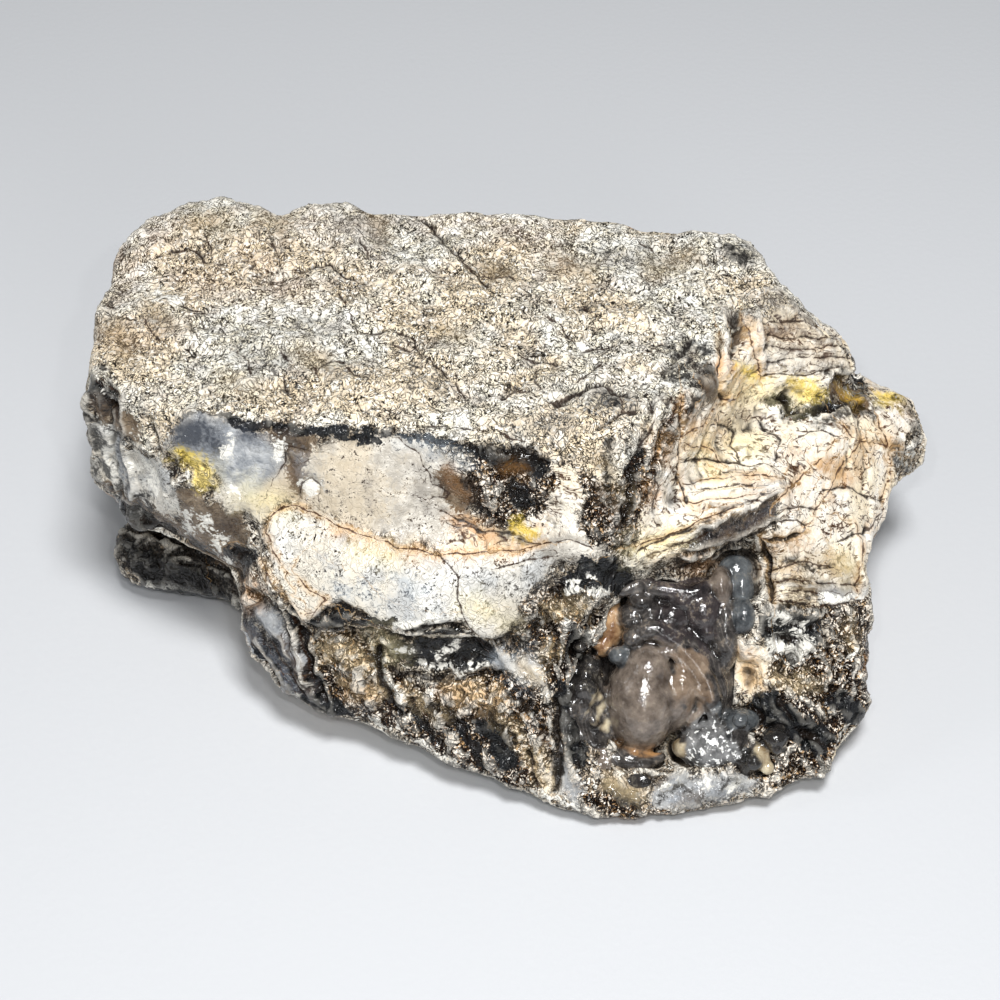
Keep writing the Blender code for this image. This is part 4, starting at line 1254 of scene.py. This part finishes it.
class StonePaint:
    """The stone's one material, layered as the stone is: rind first, then each finish, stains and veins."""

    fields = ("cloud", "patch", "vein", "hair", "pit", "hollow", *FINE_RELIEF,
              *(layer.name for layer in LAYERS[1:] + STAINS))

    def __init__(self, name: str) -> None:
        """Starts a material with the fields that its skin stores, and with its shared patterns."""
        self.material = bpy.data.materials.new(name)
        self.material.use_nodes = True
        self.tree = self.material.node_tree
        self.tree.nodes.clear()
        self.place = add(self.tree, FIELD, attribute_name="place").outputs["Vector"]
        self.stored = {field: add(self.tree, FIELD, attribute_name=field).outputs["Fac"]
                       for field in self.fields}
        self.patterns = self._patterns()

    def _patterns(self) -> dict[str, Source]:
        """Makes the patterns that every finish shares, each at its own real size.

        Returns:
            A node for each pattern, by name.
        """
        tree, place = self.tree, self.place
        warp = add(tree, NOISE, {"Vector": place, "Scale": 1 / 4.0, "Detail": 1.0})
        pull = add(tree, VECTOR_MATH, (warp.outputs["Color"], 2.2), "SCALE")
        warped = add(tree, VECTOR_MATH, (place, pull))
        long = add(tree, "ShaderNodeMapping", {"Vector": warped, "Scale": (0.13, 0.7, 1.0)})
        wide = add(tree, "ShaderNodeMapping", {"Vector": place, "Scale": (0.95, 0.72, 0.95)})
        # For each: where it is read, its size in millimetres, detail, roughness and distortion.
        noises = {
            "mottle": (place, 2.0, 4.0, 0.62, 0.0),
            "grit": (wide, 0.52, 2.0, 0.6, 0.0),
            "worm": (wide, 3.0, 2.0, 0.5, 1.4),
            "curl": (wide, 1.05, 2.0, 0.5, 1.1),
            "fine_worm": (wide, 0.55, 1.0, 0.6, 0.9),
            "streak": (long, 1.5, 3.0, 0.6, 0.3),
        }
        made = {}
        for name, (where, size, detail, rough, distortion) in noises.items():
            made[name] = add(tree, NOISE, {"Vector": where, "Scale": 1 / size, "Detail": detail,
                                           "Roughness": rough, "Distortion": distortion})
        for name in ("worm", "curl", "fine_worm", "streak"):
            middle = add(tree, MATH, (made[name], 0.5), "SUBTRACT")
            made[name] = add(tree, MATH, (middle,), "ABSOLUTE")
        made["speck"] = add(tree, VORONOI, {"Vector": place, "Scale": 1 / 0.75})
        coarse = add(tree, MATH, (made["mottle"], 0.55), "MULTIPLY")
        fine = add(tree, MATH, (made["grit"], 0.45), "MULTIPLY")
        made["tone"] = add(tree, MATH, (coarse, fine), "ADD")
        return made

    def _marks(self, finish: StoneFinish) -> Source:
        """How much of a finish's mark colour shows at each point."""
        tree, patterns, share = self.tree, self.patterns, finish.mark_share
        if finish.marks is Marks.FLECKS:
            bright = add(tree, RANGE, (patterns["mottle"], 0.74 - 0.8 * share, 0.77 - 0.8 * share))
            grains = add(tree, RANGE, (patterns["grit"], 0.42, 0.54))
            return add(tree, MATH, (bright, grains), "MULTIPLY")
        fine = add(tree, RANGE, (patterns["fine_worm"], 0.10 * share, 0.05 * share))
        if finish.marks is Marks.SPECKS:
            dots = add(tree, RANGE, (patterns["speck"], 0.10 + 0.22 * share, 0.05 + 0.13 * share))
            grains = add(tree, RANGE, (patterns["grit"], 0.50, 0.56))
            worms = add(tree, MATH, (fine, grains), "MULTIPLY")
            marks = add(tree, MATH, (dots, worms), "MAXIMUM")
            gate = add(tree, RANGE, (patterns["mottle"], 0.46, 0.54))
            return add(tree, MATH, (gate, marks), "MULTIPLY")
        wide = add(tree, RANGE, (patterns["worm"], 0.018, 0.006))
        patchy = add(tree, RANGE, (self.stored["patch"], 0.47, 0.55))
        cracks = add(tree, MATH, (wide, patchy), "MULTIPLY")
        if finish.marks is Marks.STRATA:
            beds = add(tree, RANGE, (patterns["streak"], 0.05 * share, 0.01 * share))
            gate = add(tree, RANGE, (patterns["tone"], 0.53, 0.48))
            lines = add(tree, MATH, (beds, gate), "MULTIPLY")
        else:
            gate = add(tree, RANGE, (patterns["mottle"], 0.50 + 0.14 * share, 0.42 + 0.14 * share))
            worms = add(tree, MATH, (fine, gate), "MULTIPLY")
            curls = add(tree, RANGE, (patterns["curl"], 0.036 * share, 0.018 * share))
            lines = add(tree, MATH, (curls, worms), "MAXIMUM")
        return add(tree, MATH, (lines, cracks), "MAXIMUM")

    def _border(self, layer: StoneFinish | Stain) -> Source:
        """Where a finish or a stain covers the skin, with a border that wanders.

        Args:
            layer: the finish or the stain.

        Returns:
            0 outside to 1 inside.
        """
        span = 8 * layer.edge
        wander = add(self.tree, MATH, (self.patterns["tone"], span, -span / 2), "MULTIPLY_ADD")
        inside = add(self.tree, MATH, (self.stored[layer.name], wander), "ADD")
        return add(self.tree, RANGE, (inside, -layer.soft, layer.soft))

    def _coated(self, colour: Source, coats: list[tuple[Source, str]]) -> Source:
        """Lays coats of plain colour over what is there.

        Args:
            colour: the colour below.
            coats: in order, the share of each coat and its colour as sRGB hex.

        Returns:
            The colour with its coats.
        """
        for share, coat in coats:
            colour = add(self.tree, MIX, (share, colour, linear(coat)), data_type="RGBA")
        return colour

    def _finish(self, finish: StoneFinish) -> Look:
        """The look of one finish over the whole skin."""
        tree, patterns = self.tree, self.patterns
        pale = add(tree, RANGE, (patterns["mottle"], 0.40, 0.60))
        colour = add(tree, MIX, (pale, linear(finish.deep), linear(finish.pale)), data_type="RGBA")
        cloud = add(tree, MATH, (patterns["tone"], 0.4, self.stored["cloud"]), "MULTIPLY_ADD")
        blotch = add(tree, MATH, (patterns["tone"], 0.5, self.stored["patch"]), "MULTIPLY_ADD")
        coats = [(add(tree, RANGE, (cloud, 0.66, 0.76, 0.0, finish.tint_share)), finish.tint),
                 (add(tree, RANGE, (blotch, 0.77, 0.88, 0.0, finish.shade_share)), finish.shade)]
        # Bright crumbs between the curls; on the rust they are partly painted glints.
        if finish.crumb_and_glint_share:
            low = 0.62 - 0.2 * finish.crumb_and_glint_share
            between = add(tree, RANGE, (patterns["curl"], 0.05, 0.08))
            grains = add(tree, RANGE, (patterns["grit"], low, low + 0.04))
            coats.append((add(tree, MATH, (between, grains), "MULTIPLY"), finish.crumb_and_glint))
        coats.append((self._marks(finish), finish.mark))
        rough = add(tree, MATH, (patterns["grit"], 0.24, finish.roughness - 0.12), "MULTIPLY_ADD")
        return Look(self._coated(colour, coats), rough)

    def _cover(self, below: Look, above: Look, share: Source) -> Look:
        """Lays one look over another."""
        return Look(add(self.tree, MIX, (share, below.colour, above.colour), data_type="RGBA"),
                    add(self.tree, MIX, (share, below.roughness, above.roughness)))

    def _veins(self, colour: Source) -> Source:
        """Draws the rust-filled cracks with their orange haloes, and the hair cracks."""
        tree, patterns = self.tree, self.patterns
        vein = add(tree, MATH, (self.stored["vein"],), "ABSOLUTE")
        hair = add(tree, MATH, (self.stored["hair"],), "ABSOLUTE")
        halo = add(tree, MATH, (patterns["mottle"], -2.6, vein), "MULTIPLY_ADD")
        core = add(tree, MATH, (patterns["tone"], -0.9, vein), "MULTIPLY_ADD")
        line = add(tree, MATH, (patterns["tone"], -0.9, hair), "MULTIPLY_ADD")
        return self._coated(colour, [
            (add(tree, RANGE, (halo, -0.4, -1.3, 0.0, 0.5)), VEIN_HALO),
            (add(tree, RANGE, (core, -0.33, -0.40, 0.0, 0.92)), VEIN_COLOUR),
            (add(tree, RANGE, (line, -0.30, -0.39, 0.0, 0.88)), HAIR_COLOUR)])

    def _hollows(self, colour: Source) -> Source:
        """Paints the convex edges pale, partly as wear and partly as a painted highlight, darkens the pits
        with grime and painted shade, and darkens the deep hollows with painted shade.
        """
        tree, stored = self.tree, self.stored
        edges = add(tree, RANGE, (stored["pit"], -0.4, -1.5))
        pits = add(tree, RANGE, (stored["pit"], 0.4, 1.6))
        return self._coated(colour, [
            (add(tree, MATH, (edges, stored["bleach_and_highlight"]), "MULTIPLY"), WEAR_AND_HIGHLIGHT_COLOUR),
            (add(tree, MATH, (pits, stored["grime_and_shade"]), "MULTIPLY"), GRIME_AND_SHADE_COLOUR),
            (add(tree, RANGE, (stored["hollow"], 0.7, 2.4, 0.0, 0.85)), HOLLOW_SHADE_COLOUR)])

    def _fine_height(self) -> Source:
        """The relief that is finer than the mesh, in millimetres.

        Returns:
            Grains, less the grooves along the marks, with glassy creases.
        """
        tree, patterns, stored = self.tree, self.patterns, self.stored
        grains = add(tree, MATH, (patterns["grit"], stored["grit"]), "MULTIPLY")
        groove = add(tree, RANGE, (patterns["curl"], 0.07, 0.0))
        grooves = add(tree, MATH, (groove, stored["grooves"]), "MULTIPLY")
        depth = add(tree, MATH, (stored["creases"], 4.0), "MULTIPLY")
        creases = add(tree, MATH, (patterns["worm"], depth), "MULTIPLY")
        height = add(tree, MATH, (grains, grooves), "SUBTRACT")
        return add(tree, MATH, (height, creases), "ADD")

    def build(self) -> bpy.types.Material:
        """Lays every finish, stain and vein, and ends the tree.

        Returns:
            The finished material.
        """
        tree = self.tree
        look = self._finish(RIND)
        for finish in LAYERS[1:]:
            look = self._cover(look, self._finish(finish), self._border(finish))
        colour = look.colour
        for stain in STAINS:
            held = add(tree, MATH, (self._border(stain), stain.strength), "MULTIPLY")
            plain = linear(stain.colour)
            tinted = add(tree, MIX, (held, colour, plain), data_type="RGBA", blend_type="MULTIPLY")
            lit = add(tree, MIX, (stain.cover, tinted, plain), data_type="RGBA")
            colour = add(tree, MIX, (held, colour, lit), data_type="RGBA")
        # Painted highlights on the edges, and painted shade in the pits and deep hollows, laid over the
        # veins.
        colour = self._hollows(self._veins(colour))
        bump = add(tree, "ShaderNodeBump", {"Height": self._fine_height(), "Distance": MM, "Strength": 1.0})
        shader = add(tree, "ShaderNodeBsdfPrincipled", {
            "Base Color": colour, "Roughness": look.roughness, "Normal": bump, "IOR": SILICA_IOR,
            "Specular IOR Level": 0.3})
        add(tree, "ShaderNodeOutputMaterial", {0: shader})
        return self.material


class CrustPaint(StonePaint):
    """The botryoidal crust: clear grey-brown silica in rounded lumps, each of its own tone."""

    fields = ("patch", "from_nodule", "pit", "amber_line", *(tone.field for tone in COLOURED_TONES))
    band_pitch = 0.8
    # glitter: white druse grains that are partly painted sparkle highlights. pit: painted shade in the
    # crevices between the lumps.
    band, glitter, speck, pit, lip = "#A29A92", "#F2F2EE", "#2A2522", "#0E0A08", "#B98A58"

    def build(self) -> bpy.types.Material:
        """Builds the crust's material.

        Returns:
            The finished material.
        """
        tree, patterns, stored = self.tree, self.patterns, self.stored
        tone = add(tree, RANGE, (patterns["mottle"], 0.34, 0.66))
        colour = add(tree, MIX, (tone, linear(Tone.SMOKE.deep), linear(Tone.SMOKE.pale)), data_type="RGBA")
        drift = add(tree, MATH, (stored["patch"], 5.0, stored["from_nodule"]), "MULTIPLY_ADD")
        turns = add(tree, MATH, (drift, 2 * math.pi / self.band_pitch), "MULTIPLY")
        wave = add(tree, MATH, (turns,), "SINE")
        crest = add(tree, RANGE, (wave, 0.2, 1.0, 0.0, 0.22))
        gate = add(tree, RANGE, (patterns["mottle"], 0.4, 0.6))
        bands = add(tree, MATH, (crest, gate), "MULTIPLY")
        colour = self._coated(colour, [(bands, self.band)])
        for kind in COLOURED_TONES:
            inside = add(tree, MATH, (patterns["tone"], 0.9, stored[kind.field]), "MULTIPLY_ADD")
            share = add(tree, RANGE, (inside, 0.5, 1.3))
            lump = add(tree, MIX, (tone, linear(kind.deep), linear(kind.pale)), data_type="RGBA")
            colour = add(tree, MIX, (share, colour, lump), data_type="RGBA")
        grains = add(tree, RANGE, (patterns["grit"], 0.58, 0.62))
        rim = add(tree, RANGE, (patterns["mottle"], 0.4, 0.56, 0.2, 0.9))
        # White druse grains with painted sparkle, dark specks, painted shade in the crevices, and the amber
        # line at the nodule's foot.
        colour = self._coated(colour, [
            (add(tree, MATH, (grains, stored["druse"]), "MULTIPLY"), self.glitter),
            (add(tree, RANGE, (patterns["speck"], 0.10, 0.05, 0.0, 0.4)), self.speck),
            (add(tree, RANGE, (stored["pit"], 0.2, 1.6, 0.0, 0.92)), self.pit),
            (add(tree, MATH, (rim, stored["amber_line"]), "MULTIPLY"), self.lip)])
        grit = add(tree, MATH, (patterns["grit"], 0.12), "MULTIPLY")
        height = add(tree, MATH, (patterns["worm"], 0.3, grit), "MULTIPLY_ADD")
        bump = add(tree, "ShaderNodeBump", {"Height": height, "Distance": MM, "Strength": 0.8})
        rough = add(tree, RANGE, (patterns["grit"], 0.3, 0.7, 0.05, 0.16))
        shader = add(tree, "ShaderNodeBsdfPrincipled", {
            "Base Color": colour, "Roughness": rough, "Normal": bump, "IOR": SILICA_IOR,
            "Subsurface Weight": 0.12, "Subsurface Radius": (1.2, 1.0, 0.8), "Subsurface Scale": MM,
            "Coat Weight": 0.4, "Coat Roughness": 0.03})
        add(tree, "ShaderNodeOutputMaterial", {0: shader})
        return self.material


# ---------------- pieces


@dataclass
class StoneBody:
    """The whole stone's skin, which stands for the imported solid."""

    voxel: float = 0.42
    rounding: int = 5
    most_triangles: int = 198000
    back_cortex_top: float = 36.0   # above this height the hidden sides are cortex
    flat_height: float = 0.1        # up to here the flat spot stays flat
    floor_margin: float = 1.6       # from here up the relief is whole
    hair_groove: float = 0.35
    pocket_floor: float = -6.8      # how far out of the pocket its skin may reach
    pit_steps: int = 10
    hollow_steps: int = 150
    deepest: float = 4.0            # pits count up to this many times the usual depth

    def base(self) -> bpy.types.Object:
        """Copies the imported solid, merges it and gives it an even, finely divided skin.

        Returns:
            The object before its relief.
        """
        shape = bmesh.new()
        shape.from_mesh(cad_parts[NODE].data)
        bmesh.ops.remove_doubles(shape, verts=shape.verts, dist=0.01 * MM)
        obj = placed(shape, "stone_base")
        even_out(obj, self.voxel, self.rounding)
        return finished_copy(obj, "stone_skin")

    def settle(self, mesh: bpy.types.Mesh) -> None:
        """Shifts the lips of the skin, and lowers it in the pocket, where the crust takes its place."""
        points = vertex_places(mesh)
        points += np.sum([shove.shift(points) for shove in SHOVES], axis=0)
        local = POCKET.local(points)
        inside = smooth_step(1.0, 0.84, np.hypot((local[:, 0] + 0.2) / 9.6, (local[:, 2] - 0.6) / 12.6))
        excess = np.maximum(local[:, 1] - self.pocket_floor, 0) * inside
        points += excess[:, None] * (POCKET.turn @ np.array((0.0, 1.0, 0.0)))
        mesh.vertices.foreach_set("co", (points * MM).astype(np.float32).ravel())
        mesh.update()

    def back_depths(self, points: np.ndarray, normals: np.ndarray) -> dict[str, np.ndarray]:
        """How far inside each finish the skin lies where the chart doesn't reach.

        Args:
            points: the skin's vertices.
            normals: their normals.

        Returns:
            Millimetres inside, by finish.
        """
        depths = {name: np.full(len(points), -FAR) for name in PATCHES}
        rough = 2.0 * waves(points, 6, 23) + 1.2 * waves(points, 2.8, 24)
        # For each: the size of its patches, its wave field, and how far over or under half it covers.
        for name, size, seed, level in (
                ("milky", 24, 13, -1.0), ("slate", 18, 14, -3.0), ("taupe", 16, 15, -3.5),
                ("rust", 20, 16, -2.0), ("flint", 14, 18, -4.0)):
            depths[name] = rough + 5 * waves(points, size, seed) + level
        depths["ledge"] = rough + 4 * waves(points, 22, 17) - 2.0 + 4.0 * smooth_step(30, 48, points[:, 0])
        for name, size, seed, level in (
                ("honey", 12, 19, -5.2), ("blush", 16, 20, -3.0), ("ash", 20, 21, -2.4)):
            depths[name] = 5 * waves(points, size, seed) + level
        height = points[:, 2]
        under = smooth_step(-0.2, -0.7, normals[:, 2])
        depths["cortex"] = np.maximum.reduce([
            (height - self.back_cortex_top) + 2.5 * waves(points, 16, 11), 5 * waves(points, 26, 12) - 1.5,
            6 * under - 3])
        depths["milky"] -= 4 * under
        depths["rust"] += 2.0 * smooth_step(22, 6, height)
        lip = smooth_step(-40, -46, points[:, 0]) * smooth_step(15, 12, height)
        depths["flint"] = np.maximum(depths["flint"], 7 * lip - 3)
        for name in ("cortex", "honey", "blush", "ash"):
            depths[name] -= 12 * lip
        return depths

    def dress(self, obj: bpy.types.Object) -> None:
        """Stores the patches, the veins and the relief heights on the skin."""
        mesh = obj.data
        self.settle(mesh)
        points, normals = vertex_places(mesh), vertex_normals(mesh)
        spots = CHART.places(points)
        wiggle = np.stack([waves(points, 5, seed) + waves(points, 2.2, seed + 2) for seed in (41, 42)], 1)
        seen = smooth_step(0.02, 0.22, CHART.facing(points, normals))
        back = self.back_depths(points, normals)
        depths = {}
        for name, patches in PATCHES.items():
            front = np.maximum.reduce([patch.depth(spots + 2.0 * wiggle) for patch in patches])
            depths[name] = seen * front + (1 - seen) * back[name]
            store(mesh, name, depths[name])
        for name, strokes in (("vein", VEINS), ("hair", HAIRS)):
            nearest = np.full(len(points), FAR)
            for patch in strokes:
                side = patch.side(spots + 0.9 * wiggle)
                nearest = np.where(np.abs(side) < np.abs(nearest), side, nearest)
            store(mesh, name, np.where(seen > 0.5, nearest, FAR))
        folds = np.sum([fold.rise(spots + 1.5 * wiggle) for fold in FOLDS], axis=0)
        folds -= self.hair_groove * smooth_step(0.7, 0.0, np.abs(nearest))
        store(mesh, "fold", folds * seen * self.standing(points))
        store(mesh, "place", points)
        self.store_relief(mesh, points, depths)

    def standing(self, points: np.ndarray) -> np.ndarray:
        """How much of its relief the skin has at each point: none on the flat spot."""
        return smooth_step(self.flat_height, self.floor_margin, points[:, 2])

    def store_relief(self, mesh: bpy.types.Mesh, points: np.ndarray, depths: dict[str, np.ndarray]) -> None:
        """Works out each relief's height from the finishes, and keeps the flat spot flat."""
        heights = {key: np.full(len(points), getattr(RIND.relief, key))
                   for key in COARSE_RELIEF + FINE_RELIEF}
        for finish in LAYERS[1:]:
            share = smooth_step(-0.6, 0.6, depths[finish.name])
            for key in heights:
                heights[key] += (getattr(finish.relief, key) - heights[key]) * share
        standing = self.standing(points)
        local = POCKET.local(points)
        gap = np.minimum.reduce([lump.gap(local) for lump in LUMPS])
        sink = smooth_step(1.2, 0.2, gap)
        for key, values in heights.items():
            store(mesh, key, values * standing * (1 - 0.8 * sink) if key in COARSE_RELIEF else values)
        store(mesh, "swell", standing)
        store(mesh, "sink", sink * standing)

    def build(self) -> bpy.types.Object:
        """Makes the finished skin.

        Returns:
            The stone's object.
        """
        skin = self.base()
        self.dress(skin)
        relief = SkinRelief()
        material = StonePaint("weathered_chalcedony").build()
        use_group(skin, relief.tree(material), {"Swell Height": relief.swell_height})
        rough = finished_copy(skin, "stone_rough")
        # Pit and hollow depths, which the material turns into pale edges and into painted shade in the pits
        # and hollows.
        for name, steps in (("pit", self.pit_steps), ("hollow", self.hollow_steps)):
            store(rough.data, name, np.clip(hollowness(rough.data, steps), -self.deepest, self.deepest))
        rough.data.calc_loop_triangles()
        thin = rough.modifiers.new("thin", "DECIMATE")
        thin.ratio = min(1.0, self.most_triangles / len(rough.data.loop_triangles))
        return finished_copy(rough, "stone_body")


@dataclass
class BotryoidalCrust:
    """The glossy lumps that line the pocket, grown together into one crust."""

    voxel: float = 0.26
    rounding: int = 4
    pit_steps: int = 30
    deepest: float = 4.0            # pits count up to this many times the usual depth

    def lumps(self) -> bpy.types.Object:
        """Makes the large lumps as closed ellipsoids.

        Returns:
            One object that holds them all.
        """
        shape = bmesh.new()
        turn = Euler((-POCKET.tilt, 0, 0)).to_matrix()
        for lump in LUMPS + tuple(bead for rib in RIBS for bead in rib.beads()):
            made = bmesh.ops.create_icosphere(shape, subdivisions=3, radius=1.0)["verts"]
            bmesh.ops.scale(shape, vec=Vector(lump.radii) * MM, verts=made)
            bmesh.ops.rotate(shape, matrix=turn, verts=made)
            bmesh.ops.translate(shape, vec=Vector(POCKET.place(lump.centre)) * MM, verts=made)
        obj = placed(shape, "crust_lumps")
        local = POCKET.local(vertex_places(obj.data))
        nodule = np.minimum(NODULE.gap(local), NODULE_TOP.gap(local))
        left = smooth_step(-8.5, -10.5, local[:, 0]) * smooth_step(6.0, 3.0, local[:, 2])
        right = smooth_step(6.0, 8.5, local[:, 0]) * smooth_step(-4.0, -6.0, local[:, 2])
        store(obj.data, "bead_bed", smooth_step(0.8, 2.5, nodule) * np.maximum(left, 0.7 * right))
        return obj

    def dress(self, obj: bpy.types.Object) -> None:
        """Stores where the crust's tones, bands and rims lie, and how deep its crevices are, which the
        material darkens as painted shade.
        """
        mesh = obj.data
        points = vertex_places(mesh)
        local = POCKET.local(points)
        store(mesh, "place", points)
        store(mesh, "from_nodule", NODULE.gap(local))
        store(mesh, "patch", 0.5 + 0.12 * waves(points, 4, 33))
        store(mesh, "pit", np.clip(hollowness(mesh, self.pit_steps), -self.deepest, self.deepest))
        gaps = {kind: np.minimum.reduce([lump.gap(local) for lump in LUMPS if lump.tone is kind]
                                        or [np.full(len(points), FAR)]) for kind in Tone}
        for kind in COLOURED_TONES:
            others = np.minimum.reduce([gaps[other] for other in Tone if other is not kind])
            wander = 0.35 * waves(points, 3.0, 35) + 0.25 * waves(points, 1.4, 36)
            store(mesh, kind.field, smooth_step(-0.5, 0.5, others - gaps[kind] + wander))
        foot = smooth_step(0.7, 0.2, np.abs(NODULE.gap(local) - 0.4)) * smooth_step(-7.5, -10.0, local[:, 2])
        store(mesh, "amber_line", foot * smooth_step(-1.2, 0.6, waves(points, 4.0, 37) + 0.6))

    def build(self) -> bpy.types.Object:
        """Makes the finished crust.

        Returns:
            The crust's object.
        """
        growth = BeadGrowth()
        material = CrustPaint("botryoidal_chalcedony").build()
        lumps = self.lumps()
        use_group(lumps, growth.tree(material), {"Seed": growth.seed})
        even_out(lumps, self.voxel, self.rounding)
        crust = finished_copy(lumps, "botryoidal_crust")
        self.dress(crust)
        crust.data.materials.clear()
        crust.data.materials.append(material)
        return crust


# ---------------- the studio


@dataclass
class Studio:
    """A plain pale floor, soft lamps and the camera."""

    floor_half_width: float = 1600.0
    floor_colour: str = "#CDCFD2"
    sky_colour: str = "#EEF1F5"
    sky_strength: float = 0.18
    pin_lights: tuple[tuple[float, float], ...] = ((-26, 30), (4, 44), (34, 26))

    def floor(self) -> None:
        """Lays the floor just under the stone."""
        shape = bmesh.new()
        bmesh.ops.create_grid(shape, x_segments=1, y_segments=1, size=self.floor_half_width * MM)
        obj = placed(shape, "floor")
        material = bpy.data.materials.new("matt_card")
        material.use_nodes = True
        tree = material.node_tree
        tree.nodes.clear()
        where = add(tree, "ShaderNodeTexCoord")
        grain = add(tree, NOISE, {"Vector": where.outputs["Object"], "Scale": 900.0})
        bump = add(tree, "ShaderNodeBump", {"Height": grain, "Strength": 0.05, "Distance": MM})
        shader = add(tree, "ShaderNodeBsdfPrincipled", {
            "Base Color": linear(self.floor_colour), "Roughness": 0.85, "Normal": bump})
        add(tree, "ShaderNodeOutputMaterial", {0: shader})
        obj.data.materials.append(material)

    def lamp(self, name: str, place: tuple[float, float, float], size: float, watts: float) -> None:
        """Adds one square softbox that faces the stone. Place and size are in millimetres."""
        light = bpy.data.lights.new(name, "AREA")
        light.size = size * MM
        light.energy = watts
        obj = bpy.data.objects.new(name, light)
        obj.location = Vector(place) * MM
        aim = Vector(CHART.target) * MM - obj.location
        obj.rotation_euler = aim.to_track_quat("-Z", "Y").to_euler()
        bpy.context.scene.collection.objects.link(obj)

    def camera(self) -> None:
        """Puts the camera at the chart's eye."""
        data = bpy.data.cameras.new("camera")
        data.lens = CHART.lens
        data.sensor_width = CHART.sensor
        data.clip_start = 0.01
        obj = bpy.data.objects.new("camera", data)
        obj.location = Vector(CHART.eye) * MM
        obj.rotation_euler = Vector(CHART.back).to_track_quat("Z", "Y").to_euler()
        bpy.context.scene.collection.objects.link(obj)
        bpy.context.scene.camera = obj

    def build(self) -> None:
        """Sets up the floor, lamps, world and camera."""
        self.floor()
        self.lamp("key", (60, -190, 620), 150, 3.8)
        self.lamp("front", (120, -560, 330), 120, 0.35)
        self.lamp("left", (-460, -60, 300), 160, 0.27)
        for across, rise in self.pin_lights:
            self.lamp("pin_light", (across, -260 + rise * 0.6, 250 + rise), 9, 0.12)
        world = bpy.data.worlds.new("studio")
        world.use_nodes = True
        sky = world.node_tree.nodes["Background"]
        sky.inputs["Color"].default_value = linear(self.sky_colour)
        sky.inputs["Strength"].default_value = self.sky_strength
        bpy.context.scene.world = world
        bpy.context.scene.view_settings.view_transform = "Standard"
        self.camera()


def report(obj: bpy.types.Object) -> None:
    """Logs a piece's name and size."""
    obj.data.calc_loop_triangles()
    spans = [round(length / MM, 1) for length in obj.dimensions]
    LOG.info("%s: %s mm, %d triangles", obj.name, spans, len(obj.data.loop_triangles))


def main() -> None:
    """Builds the studio and the stone."""
    logging.basicConfig(level=logging.INFO, format="%(name)s: %(message)s")
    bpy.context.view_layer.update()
    Studio().build()
    body = StoneBody().build()
    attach(body, "root")
    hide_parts(NODE)
    report(body)
    crust = BotryoidalCrust().build()
    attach(crust, "root")
    report(crust)


if __name__ == "__main__":
    main()
